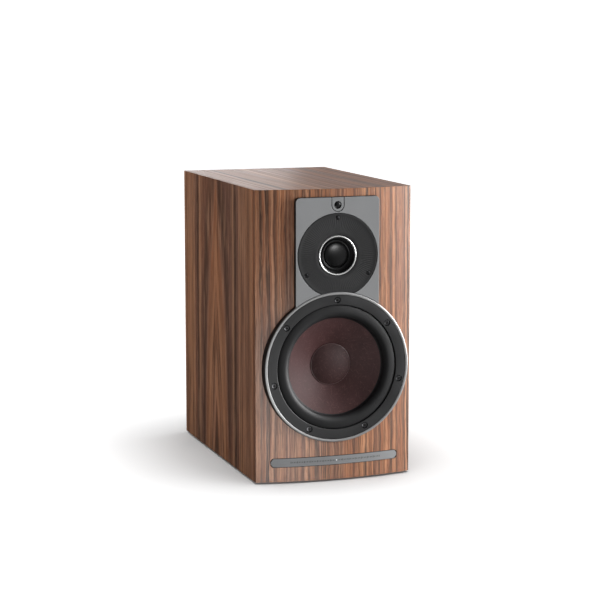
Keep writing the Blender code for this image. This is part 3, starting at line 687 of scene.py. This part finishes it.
def woofer_soft_parts(centre):
    crest, crest_depth, skin = 66.6, 1.0, 0.9
    outer_reach, outer_rise = 7.7, 1.8
    inner_reach, inner_rise = 7.3, 5.6
    outer_foot, inner_foot = (crest, crest_depth + outer_rise), (crest, crest_depth + inner_rise)
    outer_back, inner_back = (crest, outer_foot[1] + skin), (crest, inner_foot[1] + skin)
    outer = arc(outer_foot, outer_reach, 0, 90, 14, height=-outer_rise)
    inner = arc(inner_foot, inner_reach, 90, 180, 16, height=-inner_rise)
    under = arc(inner_back, inner_reach - skin, 180, 90, 16, height=-inner_rise)
    under += arc(outer_back, outer_reach - skin, 90, 0, 14, height=-outer_rise)
    lip = [(59.1, 7.2), (58.9, 8.1), (60.2, 8.1)]
    profile = [(74.5, 3.8), (74.5, 2.9)] + outer + inner[1:] + lip + under
    surround = piece("woofer_surround_roll", lathe(profile, centre), BLACK_RUBBER, 50)
    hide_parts("woofer_surround")
    stretch_with(surround)

    steps, thick = 24, 1.3
    radii = [CONE_REACH - (CONE_REACH - COIL_R - 0.3) * k / steps for k in range(steps + 1)]
    front = [(radius, cone_depth(radius)) for radius in radii]
    back = [(radius, cone_depth(radius) + thick) for radius in reversed(radii)]
    pulp = wood_fibre("wood fibre pulp", 1.0)
    # The cap is the cone's pulp darkened to 0.8: painted shade.
    cap_pulp_with_painted_shade = wood_fibre("wood fibre cap", 0.8)
    moving = "woofer_moving_parts"
    cone = lathe(front + back, centre)
    solid("woofer_cone_pressed", cone, pulp, "wood_fibre", "woofer_cone", body=moving, angle=50)

    glue = [(59.6, 7.4), (59.0, 7.9), (58.3, 8.4), (58.0, 8.9), (58.6, 8.75), (59.6, 8.3)]
    solid("woofer_glue_band", lathe(glue, centre), BLACK_RUBBER, "black_rubber", body=moving, angle=60)

    cap_low, cap_high = box_mm("woofer_dust_cap")
    cap_skin, rim = 0.9, cap_high.y - FACE_Y - 1.0
    rise = rim - (cap_low.y - FACE_Y)
    shares = [k / 20 for k in range(21)]
    dome = [(CAP_R * s, rim - rise * (1 - s**2)) for s in shares]
    inner = [(CAP_R * s, rim + cap_skin - rise * (1 - s**2)) for s in reversed(shares)]
    cap = lathe(dome + inner, centre, 128)
    solid("woofer_dust_cap_pressed", cap, cap_pulp_with_painted_shade, "wood_fibre", "woofer_dust_cap", body=moving, angle=50)
    offsets = ((-0.2, -0.1), (0.2, 0.05), (0.6, 0.6), (-0.2, 1.0))
    seam = [(CAP_R + outwards, rim + inwards) for outwards, inwards in offsets]
    glue_line = moulded("clear glue line", srgb(74, 56, 55), 0.35)
    bead = lathe(seam, centre, 128)
    solid("woofer_cap_glue_bead", bead, glue_line, "wood_fibre", body=moving, angle=60)


def stretch_with(obj):
    """Bakes obj's placement into its mesh."""
    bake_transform(obj)


def hex_screw(name, spot, head, face, finish, node):
    """A screw head with a hexagon socket, black inside as painted shade. face is the depth of its top."""
    under, tip, shank = face + 1.7, face + 14, head * 0.6
    profile = [(0, face), (head - 0.75, face), (head - 0.25, face + 0.25), (head, face + 0.8)]
    profile += [(head, under), (shank, under), (shank, tip), (0, tip)]
    screw = piece(name, lathe(profile, spot, 48), [finish, BLACK_EDGES_AND_PAINTED_SHADE])
    reach, length = head * 0.56, 2.2
    socket = [(0, 0), (reach, 0), (reach, length), (0, length)]
    combine(screw, lathe(socket, spot, 6, FACE_Y + face - 1, 0.3))
    # The socket's inside takes the black: painted shade in the hole.
    for side in screw.data.polygons:
        x, y, z = side.center / MM
        inside = math.hypot(x - spot[0], z - spot[1]) < reach and y > FACE_Y + face + 0.05
        side.material_index = 1 if inside else 0
    shown(screw, "black_steel", node)


def woofer():
    centre = (0, WOOFER_Z)
    spots = [centre_of(f"woofer_screw_{k + 1}") for k in range(7)]
    woofer_trim(centre, spots)
    woofer_soft_parts(centre)
    steel = moulded("blackened steel", srgb(88, 88, 90), 0.28, grain=1200, depth=0.00002, metallic=0.95)
    for k, spot in enumerate(spots):
        hex_screw(f"woofer_socket_screw_{k + 1}", spot, 3.2, 1.3, steel, f"woofer_screw_{k + 1}")


# ---------------------------------------------------------------- tweeter and its plate
def plate_outline(margin):
    """The grey plate round the tweeter and above the woofer, from its lower left corner."""
    woofer_edge, disc_edge = WOOFER_R + margin, DISC_R + margin
    half, top, corner = PLATE_HIGH.x, PLATE_HIGH.z, 5.0
    apart = TWEETER_Z - WOOFER_Z
    along = (woofer_edge**2 - disc_edge**2 + apart**2) / (2 * apart)
    meet_x = math.sqrt(woofer_edge**2 - along**2)
    foot_angle = math.degrees(math.acos(half / woofer_edge))
    meet_angle = math.degrees(math.atan2(along, meet_x))
    disc_start = math.degrees(math.atan2(along - apart, meet_x))
    outline = arc((0, WOOFER_Z), woofer_edge, foot_angle, meet_angle, 24)
    outline += arc((0, TWEETER_Z), disc_edge, disc_start, 180 - disc_start, 128)[1:]
    outline += arc((0, WOOFER_Z), woofer_edge, 180 - meet_angle, 180 - foot_angle, 24)[1:]
    outline += arc((-half + corner, top - corner), corner, 180, 90, 14)
    notch = TAB_R + 0.7
    outline += [(-notch, top)] + arc((0, EYE_Z), notch, 180, 360, 28) + [(notch, top)]
    outline += arc((half - corner, top - corner), corner, 90, 0, 14)
    return outline


def paint_edges(obj, face_limit=0.6):
    """Second material on the faces that don't look forward."""
    for face in obj.data.polygons:
        face.material_index = 0 if face.normal.y < -face_limit else 1


def front_plate():
    finishes = [GREY_SATIN, BLACK_EDGES_AND_PAINTED_SHADE]
    plate = piece("tweeter_plate_satin", prism(plate_outline(0.3), FACE_Y, PLATE_HIGH.y), finishes)
    bevelled(plate, 0.35)
    paint_edges(plate, 0.3)
    shown(plate, "grey_trim", "tweeter_plate")

    top = PLATE_HIGH.z
    outline = [(TAB_R, top), (-TAB_R, top)] + arc((0, EYE_Z), TAB_R, 180, 360, 28)
    tab = piece("eye_tab_satin", prism(outline, FACE_Y, PLATE_HIGH.y), finishes)
    combine(tab, drum((0, EYE_Z), EYE_R + 0.35, FACE_Y - 5, PLATE_HIGH.y + 5))
    bevelled(tab, 0.3)
    # At this limit the tab's bevels and sides go black: painted shade in the groove round the tab.
    paint_edges(tab, 0.8)
    shown(tab, "grey_trim", "eye_tab")

    back = PLATE_THICKNESS - 0.2
    dome = [(0, 0.4)] + arc((0, 1.7), EYE_R, 90, 0, 10, height=-1.3)[1:]
    dark = moulded("dark receiver lens", srgb(8, 8, 9), 0.16, grain=300, depth=0.000002)
    lens = lathe(dome + [(EYE_R, back), (0, back)], (0, EYE_Z), 64)
    solid("eye_lens_domed", lens, dark, "dark_lens", "eye_lens")


def ribbed_disc():
    """The tweeter's faceplate: a flat disc with fine raised ribs running outwards, cut by the woofer."""
    ribs, per_rib, rib_height = 108, 4, 0.22
    inner, outer = 26.5, 47.0
    profile = [(23.75, PLATE_THICKNESS), (23.75, 1.3), (24.1, 0.85), (24.8, 0.7), (26.0, 0.65)]
    profile += [(inner + (outer - inner) * k / 10, 0.55) for k in range(11)]
    profile += [(47.8, 0.45), (49.2, 0.35), (49.7, 0.5), (DISC_R, 0.9), (DISC_R, PLATE_THICKNESS)]
    bm = lathe(profile, (0, TWEETER_Z), ribs * per_rib)
    for vertex in bm.verts:
        x, z = vertex.co.x, vertex.co.z - TWEETER_Z
        radius = math.hypot(x, z)
        if inner + 0.5 < radius < outer - 0.5 and vertex.co.y < FACE_Y + 1:
            phase = math.atan2(z, x) * ribs
            vertex.co.y += rib_height * (0.5 + 0.5 * math.cos(phase))
    charcoal = srgb(18, 18, 19)
    finish = moulded("charcoal moulded plastic", charcoal, 0.52, grain=1500, depth=0.00002, level=0.26)
    disc = piece("tweeter_faceplate_ribbed", bm, finish, 60)
    combine(disc, drum((0, WOOFER_Z), WOOFER_R + 0.35, FACE_Y - 5, FACE_Y + 12, 2 * ROUND))
    spots = [centre_of(f"tweeter_screw_{k + 1}") for k in range(3)]
    well, well_depth = 2.65, 2.1
    steel = moulded("black screw steel", srgb(38, 38, 40), 0.35, grain=1200, depth=0.00002, metallic=0.8)
    for k, spot in enumerate(spots):
        combine(disc, drum(spot, well, FACE_Y - 2, FACE_Y + well_depth, 32))
        hex_screw(f"tweeter_socket_screw_{k + 1}", spot, 2.3, 0.7, steel, f"tweeter_screw_{k + 1}")
    shown(disc, "black_plastic", "tweeter_faceplate")


def tweeter():
    centre = (0, TWEETER_Z)
    front_plate()
    ribbed_disc()
    silk = moulded("coated silk dome", srgb(13, 13, 14), 0.42, grain=2600, depth=0.00001, level=0.34)
    chrome = turned_metal("polished aluminium", srgb(205, 205, 204), 0.3, centre, 0.6)
    top = arc((22.65, 0.75), 0.75, 0, 180, 12, height=-0.75)
    throat = [(21.85, 1.1), (21.5, 1.3), (21.1, 1.45), (20.8, 1.8), (20.8, PLATE_THICKNESS - 0.4)]
    profile = [(23.4, PLATE_THICKNESS - 0.4)] + top + throat
    lip = piece("tweeter_ring_polished", lathe(profile, centre), [chrome, silk])
    for face in lip.data.polygons:
        across = math.hypot(face.center.x, face.center.z - TWEETER_Z * MM) / MM
        face.material_index = 1 if across < 21.75 else 0
    shown(lip, "bright_aluminium", "tweeter_ring")

    low, high = box_mm("tweeter_dome")
    base, tip, skin = high.y - FACE_Y, low.y - FACE_Y, 0.6
    outer = arc((0, base), DOME_EDGE, 0, 90, 20, height=tip - base)
    inner = arc((0, base), DOME_EDGE - skin, 90, 0, 20, height=tip - base + skin)
    outer[-1], inner[0] = (0, tip), (0, tip + skin)
    dome, moving = lathe(outer + inner, centre, 96), "tweeter_moving_parts"
    solid("tweeter_dome_coated", dome, silk, "coated_textile", "tweeter_dome", body=moving, angle=60)

    crest, roll_radius, under_radius = 17.0, 1.7, 1.2
    roll = arc((crest, 7.0), roll_radius, 0, 180, 14, height=-roll_radius)
    under = arc((crest, 7.4), under_radius, 180, 0, 14, height=-under_radius)
    profile = [(20.5, 7.4), (20.5, 6.9)] + roll + under
    surround = piece("tweeter_surround_roll", lathe(profile, centre, 96), silk, 60)
    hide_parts("tweeter_surround")
    stretch_with(surround)


# ---------------------------------------------------------------- level bar
def bent_strip(outline, front, back):
    """A flat outline of (x, z) bent to the bow, between two insets behind it."""
    rings = [[(x, bow_y(x, inset), z) for x, z in outline] for inset in (front, back)]
    return rings_to_bmesh(rings)


def level_bar():
    half, middle = BAR_HIGH.x, (BAR_LOW.z + BAR_HIGH.z) / 2
    rise = (BAR_HIGH.z - BAR_LOW.z) / 2
    steps, corner = 60, 4
    bm = bmesh.new()
    columns = []
    for k in range(steps + 1):
        x = -half + 2 * half * k / steps
        short = max(0.0, abs(x) - (half - corner))
        reach = rise - corner + math.sqrt(max(0.0, corner**2 - short**2))
        column = []
        for inset in (-0.2, 2.5):
            for z in (middle - reach, middle + reach):
                column.append(bm.verts.new((x, bow_y(x, inset), z)))
        columns.append(column)
    for (a, b, c, d), (e, f, g, h) in zip(columns, columns[1:]):
        for face in ((a, b, f, e), (c, g, h, d), (a, e, g, c), (b, d, h, f)):
            bm.faces.new(face)
    for a, b, c, d in (columns[0], columns[-1]):
        bm.faces.new((a, b, d, c))
    bar = piece("level_bar_satin", bm, [GREY_SATIN, BLACK_EDGES_AND_PAINTED_SHADE])
    # The bar's sides go black: painted shade in the gap round the bar.
    paint_edges(bar, 0.5)
    shown(bar, "grey_trim", "level_bar")

    ticks, pitch, tick, long_tick = 57, 2.0, 0.7, 1.15
    marks = bmesh.new()
    for k in range(ticks):
        x = (k - (ticks - 1) / 2) * pitch
        if abs(x) < 0.1:  # the indicator's place
            continue
        tall, side = tick if k % 4 else long_tick, 0.4
        corners = ((-side, -tall), (side, -tall), (side, tall), (-side, tall))
        mark = bent_strip([(x + dx, middle + dz) for dx, dz in corners], -0.24, 0.3)
        copy = bpy.data.meshes.new("mark")
        mark.to_mesh(copy)
        mark.free()
        marks.from_mesh(copy)
        bpy.data.meshes.remove(copy)
    solid("level_bar_marks", marks, BLACK_EDGES_AND_PAINTED_SHADE, "black_plastic")

    light = moulded("white indicator lens", srgb(176, 178, 180), 0.25, grain=500, depth=0.000005)
    face = bow_y(0) - 0.35
    solid("level_bar_indicator", drum((0, middle), 0.9, face, face + 1.0, 32), light, "dark_lens")


# ---------------------------------------------------------------- rear
def port():
    centre = centre_of("port_tube")
    mouth = REAR_Y + 0.2
    flare = [
        (35.6, 0.02), (34.6, -0.1), (33.2, -0.5), (31.5, -1.3), (29.6, -2.8), (27.6, -5.2), (25.8, -8.6),
        (24.2, -13),
    ]
    throat = [
        (22.9, -18.5), (22.1, -25), (22, -30), (22, -84), (22.6, -92), (24.4, -99.5), (27.4, -104.4),
        (31, -107),
    ]
    outer = [(33.5, -105.5), (27.5, -97), (24.5, -86), (24.5, -24), (27.6, -13), (32.6, -3.2), (32.6, -2.7)]
    profile = flare + throat + outer + [(38, -2.7), (38, -0.3), (37.8, 0.1), (37.2, 0.2), (36.4, 0.15)]
    finish = moulded("textured black port", srgb(33, 33, 34), 0.5, grain=1800, depth=0.00006)
    tube = lathe(profile, centre, 128, mouth)
    solid("port_tube_flared", tube, finish, "black_plastic", "port_tube", angle=40)


def amp_panel():
    outline = rounded_rectangle((AMP_LOW.x, AMP_LOW.z), (AMP_HIGH.x, AMP_HIGH.z), 5)
    panel = piece("amp_panel_coated", prism(outline, AMP_LOW.y, AMP_HIGH.y), BLACK_COATED)
    ahead, behind = AMP_LOW.y - 4, AMP_HIGH.y + 4
    rounds = {"gain_knob": 3.6, "pair_button": 4.35, "rca_socket_left": 5.3, "rca_socket_right": 5.3}
    for node, radius in rounds.items():
        combine(panel, drum(centre_of(node), radius, ahead, behind))
    windows = {"input_slider": (14, 6), "power_inlet": (28.2, 20.8), "rocker_housing": (13, 21.4)}
    for node, (wide, tall) in windows.items():
        x, z = centre_of(node)
        combine(panel, block((x - wide / 2, ahead, z - tall / 2), (x + wide / 2, behind, z + tall / 2)))
    bevelled(panel, 0.4, 2)
    shown(panel, "black_coated_metal", "amp_panel")

    zinc = moulded("black zinc screws", srgb(60, 60, 62), 0.35, grain=900, depth=0.00002, metallic=0.9)
    edge, head, rise = 7.0, 3.4, 1.6
    profile = [(0, -0.4), (head, -0.4)] + arc((0, 0), head, 0, 90, 8, height=rise)[:-1] + [(0, rise)]
    heights = (AMP_LOW.z + edge, (AMP_LOW.z + AMP_HIGH.z) / 2, AMP_HIGH.z - edge)
    spots = [(x, z) for z in heights for x in (AMP_LOW.x + edge, AMP_HIGH.x - edge)]
    for number, (x, z) in enumerate(spots, 1):
        screw = piece(f"amp_panel_screw_{number}", lathe(profile, (x, z), 48, AMP_FACE), zinc)
        for turn in (0, 90):
            slot_cut = block((-2.1, AMP_FACE + 0.7, -0.35), (2.1, AMP_FACE + 3, 0.35))
            spin = Matrix.Rotation(math.radians(turn + 20 * number), 4, "Y")
            combine(screw, moved(slot_cut, Matrix.Translation((x, 0, z)) @ spin))
        shown(screw, "black_steel")


def rear_controls():
    low, high = box_mm("gain_knob")
    centre = centre_of("gain_knob")
    radius, stem = high.x - centre[0], low.y
    tall = high.y - stem
    flutes, flute_depth = 40, 0.035  # the depth is a share of the radius
    profile = [(0, tall), (radius - 1.4, tall), (radius - 0.5, tall - 0.35), (radius, tall - 1.2)]
    profile += [(radius, 9.0), (radius - 0.3, 8.6), (3.2, 8.6), (3.2, 0), (0, 0)]
    bm = lathe(profile, centre, 240, stem)
    for vertex in bm.verts:
        x, z = vertex.co.x - centre[0], vertex.co.z - centre[1]
        if math.hypot(x, z) > radius - 0.1:
            shrink = 1 - flute_depth * (0.5 + 0.5 * math.cos(math.atan2(z, x) * flutes))
            vertex.co.x = centre[0] + x * shrink
            vertex.co.z = centre[1] + z * shrink
    knob = piece("gain_knob_knurled", bm, BLACK_SMOOTH, 50)
    x, z = centre
    combine(knob, block((x - 0.45, high.y - 0.5, z + 3), (x + 0.45, high.y + 1, z + 9.5)))
    shown(knob, "black_coated_metal", "gain_knob", body="gain_control")
    white = moulded("white print", srgb(206, 207, 208), 0.5, grain=700, depth=0.000003)
    line = block((x - 0.4, high.y - 0.45, z + 3.1), (x + 0.4, high.y - 0.15, z + 7.6))
    solid("gain_knob_pointer", line, white, "black_plastic", body="gain_control")

    marks, first, step = 11, -140, 28
    for k in range(marks):
        angle = math.radians(90 - (first + step * k))
        inner, outer = radius + 2.2, radius + (4.2 if k % 5 else 5.2)
        mark = block((inner, AMP_FACE - 0.2, -0.25), (outer, AMP_FACE + 0.06, 0.25))
        spin = Matrix.Translation((centre[0], 0, centre[1])) @ Matrix.Rotation(-angle, 4, "Y")
        solid(f"gain_scale_mark_{k + 1}", moved(mark, spin), white, "black_plastic")

    low, high = box_mm("pair_button")
    centre = centre_of("pair_button")
    top = [(0, high.y), (3.2, high.y), (3.8, high.y - 0.25), (4.0, high.y - 0.8), (4.0, low.y), (0, low.y)]
    button = lathe(top, centre, 64, 0)
    solid("pair_button_cap", button, BLACK_SMOOTH, "black_plastic", "pair_button", body="pairing_switch")

    gold = turned_metal("gold plated brass", srgb(212, 170, 96), 0.22, centre_of("rca_socket_left"))
    for side, ring_colour in (("left", srgb(216, 216, 214)), ("right", srgb(170, 30, 28))):
        node = "rca_socket_" + side
        centre = centre_of(node)
        barrel = [(4.2, 9.2), (4.0, 9.4), (3.2, 9.4), (3.1, 9.2), (3.1, 1.4), (0, 1.4), (0, -10), (5, -10)]
        barrel += [(5, 0.3), (6.3, 0.3), (6.5, 0.5), (6.5, 2.0), (6.3, 2.2), (4.2, 2.2)]
        solid(node + "_barrel", lathe(barrel, centre, 96, AMP_FACE), gold, "gold_plate", node)
        insulator = [(3.0, 9.0), (1.7, 9.0), (1.7, 1.5), (3.0, 1.5)]
        colour = moulded("insulator " + side, ring_colour, 0.4, grain=600, depth=0.00001)
        solid(node + "_insulator", lathe(insulator, centre, 64, AMP_FACE), colour, "gold_plate")

    rocker_marks(white)

    x, z = centre_of("power_inlet")
    steel = moulded("nickel blades", srgb(190, 190, 188), 0.25, grain=800, depth=0.00001, metallic=1.0)
    half_thick, half_wide = 1.05, 2.05
    for k, (dx, dz) in enumerate(((-7, -2), (7, -2), (0, 2.6))):
        low = (x + dx - half_thick, AMP_FACE - 15.2, z + dz - half_wide)
        high = (x + dx + half_thick, AMP_FACE - 0.9, z + dz + half_wide)
        blade = piece(f"inlet_blade_{k + 1}", block(low, high), steel)
        shown(bevelled(blade, 0.4, 2), "steel")


def rocker_marks(white):
    """A ring on the rocker's upper end, which is in at rest, and a bar on its lower end."""
    x, z = centre_of("rocker_housing")
    tilt, slope, pivot_depth, face_height, reach = 8.0, 10.7, 3.0, 4.46, 3.7
    whole = Matrix.Translation((x, AMP_FACE - pivot_depth, z)) @ Matrix.Rotation(math.radians(tilt), 4, "X")
    ring = lathe([(1.0, 0), (1.5, 0), (1.5, 0.12), (1.0, 0.12)], (0, 0), 32, 0)
    bar = block((-0.25, 0, -1.5), (0.25, 0.12, 1.5))
    for name, end, shape in (("ring", 1, ring), ("bar", -1, bar)):
        spot = Matrix.Translation((0, face_height, end * reach))
        lean = Matrix.Rotation(math.radians(-end * slope), 4, "X")
        mark = moved(shape, whole @ spot @ lean)
        solid("power_rocker_" + name, mark, white, "black_plastic", body="power_switch")


def heat_sink():
    low, high = box_mm("heat_sink")
    fins, pitch, thick, web, nick = 13, 8.0, 2.2, 2.0, 0.4
    base = low.y + web
    outline = [(low.x, low.y), (high.x, low.y), (high.x, base)]
    for k in reversed(range(fins)):
        x = (k - (fins - 1) / 2) * pitch
        tip = [(x + thick / 2 - 0.25, high.y), (x - thick / 2 + 0.25, high.y)]
        outline += [(x + thick / 2, base), (x + thick / 2, high.y - nick)] + tip
        outline += [(x - thick / 2, high.y - nick), (x - thick / 2, base)]
    outline.append((low.x, base))
    rings = [[(x, y, z) for x, y in outline] for z in (low.z, high.z)]
    sink = rings_to_bmesh(rings)
    solid("heat_sink_extruded", sink, BLACK_COATED, "black_coated_metal", "heat_sink")


# ---------------------------------------------------------------- inside, and the pieces kept from the CAD
def damping_pad():
    low, high = box_mm("damping_pad")
    bm = block(low + Vector((0.2, 1, 1)), high - Vector((1.0, 1, 1)))
    bmesh.ops.subdivide_edges(bm, edges=bm.edges, cuts=14, use_grid_fill=True)
    pad = piece("damping_pad_felt", bm, felt(), 80)
    for vertex in pad.data.vertices:
        y, z = vertex.co.y / MM, vertex.co.z / MM
        edge = min(y - low.y, high.y - y, z - low.z, high.z - z)
        puff = 0.6 * math.sin(y * 0.31) * math.sin(z * 0.23) + 0.4 * math.sin(y * 0.83 + z * 0.6)
        if vertex.co.x / MM > (low.x + high.x) / 2:
            vertex.co.x += (puff - 2.2 * math.exp(-edge / 5)) * MM
    shown(pad, "wool_felt", "damping_pad")


def kept_nodes():
    """Procedural finishes for the CAD nodes that show as they are."""
    board = pressed_board("fibreboard", srgb(150, 116, 82))
    dark_board = moulded("dark painted underside", srgb(40, 32, 27), 0.6, grain=900, depth=0.00005)
    steel = moulded("zinc plated steel", srgb(178, 179, 181), 0.3, grain=400, depth=0.00002, metallic=1.0)
    copper = turned_metal("enamelled copper", srgb(190, 112, 62), 0.3, (0, WOOFER_Z))
    finishes = {
        "side_left": board, "side_right": board, "top_panel": board, "window_brace": board,
        "bottom_panel": dark_board,
        "woofer_basket": BLACK_COATED, "tweeter_motor": BLACK_COATED,
        "woofer_magnet": moulded("ferrite", srgb(78, 78, 80), 0.6, grain=800, depth=0.0001),
        "woofer_yoke": steel, "woofer_top_plate": steel,
        "woofer_voice_coil": copper, "tweeter_voice_coil": copper,
        "woofer_spider": woven("treated cotton", srgb(196, 160, 92), 1100),
        "amp_board": circuit_board(),
        "woofer_cable": moulded("red cable sheath", srgb(120, 24, 22), 0.45),
        "tweeter_cable": moulded("grey cable sheath", srgb(96, 96, 98), 0.45),
        "power_inlet": BLACK_PLASTIC, "rocker_housing": BLACK_PLASTIC,
        "power_rocker": BLACK_SMOOTH, "input_slider": BLACK_SMOOTH,
    }
    for node, finish in finishes.items():
        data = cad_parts[node].data
        data.materials.clear()
        data.materials.append(finish)


# ---------------------------------------------------------------- floor, light and camera
def studio():
    paper = Nodes("white studio floor")
    where = paper.here()
    tone = paper.mix(paper.noise(where, 3, 2), (0.59, 0.59, 0.59, 1), (0.61, 0.61, 0.61, 1))
    away = paper.add("ShaderNodeVectorMath", {0: where}, operation="LENGTH").outputs["Value"]
    # The floor glows: painted light, faint near the speaker and stronger further out.
    near, far = paper.spread(away, 0.14, 0.36, 0.03, 0.34), paper.spread(away, 0.36, 3.0, 0.0, 0.5)
    glow = paper.plus(near, far)
    paper.finish(base_color=tone, roughness=0.9, emission_color=WHITE, emission_strength=glow)
    bpy.ops.mesh.primitive_plane_add(size=30)
    floor = bpy.context.object
    floor.name = "studio_floor"
    floor.data.materials.append(paper.material)
    floor.visible_glossy = False

    world = bpy.data.worlds.new("soft studio")
    bpy.context.scene.world = world
    world.use_nodes = True
    sky = Tree(world.node_tree)
    backdrop = sky.tree.nodes["Background"]
    sky.put(backdrop.inputs["Color"], (0.45, 0.45, 0.455, 1))
    heading = sky.add("ShaderNodeTexCoord").outputs["Generated"]
    to_the_right = sky.add("ShaderNodeSeparateXYZ", {0: heading}).outputs["X"]
    glare = sky.spread(to_the_right, -0.1, 0.6, 0.03, 0.45)
    mirrored = sky.add("ShaderNodeBackground", {"Color": WHITE, "Strength": glare})
    seen = sky.add("ShaderNodeBackground", {"Color": WHITE, "Strength": 1.1})
    ray = sky.add("ShaderNodeLightPath").outputs
    last = backdrop.outputs[0]
    for kind, shade in (("Is Glossy Ray", mirrored), ("Is Camera Ray", seen)):
        values = {0: ray[kind], 1: last, 2: shade.outputs[0]}
        last = sky.add("ShaderNodeMixShader", values).outputs[0]
    sky.put(sky.tree.nodes["World Output"].inputs["Surface"], last)


def area_light(name, centre, target, width, height, watts):
    light = bpy.data.lights.new(name, "AREA")
    light.shape = "RECTANGLE"
    light.size, light.size_y = width, height
    light.energy = watts
    obj = bpy.data.objects.new(name, light)
    bpy.context.scene.collection.objects.link(obj)
    obj.location = centre
    obj.rotation_euler = (target - centre).to_track_quat("-Z", "Z").to_euler()
    return obj


def link(light, state, *names):
    """Lets a light fall on the named objects alone (INCLUDE), or on everything but them (EXCLUDE)."""
    receivers = bpy.data.collections.new(light.name + "_receivers")
    for name in names:
        receivers.objects.link(bpy.data.objects[name])
    for member in receivers.collection_objects:
        member.light_linking.link_state = state
    light.light_linking.receiver_collection = receivers


def softbox(name, azimuth, elevation, distance, size, watts):
    """A square area light aimed at the speaker's middle. Azimuth 0 is in front of it, and it grows to the
    right."""
    target = Vector((0, 0, 0.17))
    a, e = math.radians(azimuth), math.radians(elevation)
    away = Vector((math.sin(a) * math.cos(e), -math.cos(a) * math.cos(e), math.sin(e)))
    return area_light(name, target + away * distance, target, size, size, watts)


def far_side(obj):
    """The largest Y of an object's box, in millimetres."""
    return max((obj.matrix_world @ Vector(corner)).y for corner in obj.bound_box) / MM


def lights():
    floor, left, right, top = "studio_floor", "veneer_left_sheet", "veneer_right_sheet", "veneer_top_sheet"
    baffle_sheet, dome, cap = "front_baffle_veneered", "tweeter_dome_coated", "woofer_dust_cap_pressed"
    link(softbox("key_right", 71, 10, 2.2, 1.4, 200), "EXCLUDE", floor, right, top, dome)
    link(softbox("rear_right", 125, 35, 2.2, 1.5, 25), "EXCLUDE", floor)
    link(softbox("overhead_on_floor", 30, 84, 2.5, 1.4, 90), "INCLUDE", floor)
    solids = [obj for obj in bpy.context.scene.objects if obj.type == "MESH" and obj.name != floor]
    proud = [obj.name for obj in solids if far_side(obj) > REAR_Y + 0.1]
    link(softbox("rear_soft", 205, 35, 2.2, 1.5, 30), "INCLUDE", "rear_panel_veneered", *proud)
    fills = ((left, -135, 20, 1.2, 1.0, 9), (right, 105, 15, 2.4, 1.8, 34), (top, -20, 70, 2.4, 1.8, 23))
    for sheet, azimuth, elevation, distance, size, watts in fills:
        fill = softbox(sheet + "_fill", azimuth, elevation, distance, size, watts)
        fill.visible_glossy = False
        link(fill, "INCLUDE", sheet)
    apart = (baffle_sheet, left, right, dome, cap, "woofer_surround_roll")
    cards = (
        ("baffle_sheen", (-0.07, -0.45, 0), (-0.05, -0.15, 0), (0.25, 0.3), 0.4, "INCLUDE", (baffle_sheet,)),
        ("driver_sheen", (-0.14, -0.45, 0.004), (-0.08, -0.15, 0.03), (0.3, 0.3), 1.0, "EXCLUDE", apart),
        ("top_sheen", (-0.12, 0.62, 0.46), (-0.03, 0.0, 0.35), (0.7, 0.16), 1.15, "INCLUDE", (top,)),
        ("dome_sheen", (0.06, -0.75, 0.7), (0.0, -0.16, 0.27), (0.25, 0.25), 7.0, "INCLUDE", (dome,)),
        ("cap_sheen", (0.47, -0.78, 0.24), (0.0, -0.15, 0.138), (0.3, 0.3), 3.0, "INCLUDE", (cap,)),
    )
    for name, centre, target, (width, height), watts, state, names in cards:
        card = area_light(name, Vector(centre), Vector(target), width, height, watts)
        card.visible_camera = card.visible_diffuse = False
        if name == "baffle_sheen":
            card.data.spread = math.radians(80)
        link(card, state, *names)


def camera():
    azimuth, elevation = math.radians(18.93), math.radians(8.45)
    distance, lens, aside, height = 2.370, 112.6, 0.00997, 0.19517
    level = math.cos(elevation)
    view = Vector((math.sin(azimuth) * level, math.cos(azimuth) * level, -math.sin(elevation)))
    right = Vector((math.cos(azimuth), -math.sin(azimuth), 0))
    target = right * aside + Vector((0, 0, height))
    data = bpy.data.cameras.new("photo_view")
    data.lens = lens
    data.sensor_width = 36
    obj = bpy.data.objects.new("photo_view", data)
    bpy.context.scene.collection.objects.link(obj)
    obj.location = target - view * distance
    obj.rotation_euler = view.to_track_quat("-Z", "Y").to_euler()
    bpy.context.scene.camera = obj


cabinet()
woofer()
tweeter()
level_bar()
port()
amp_panel()
rear_controls()
heat_sink()
damping_pad()
kept_nodes()
studio()
lights()
camera()
bpy.context.scene.view_settings.view_transform = "Standard"
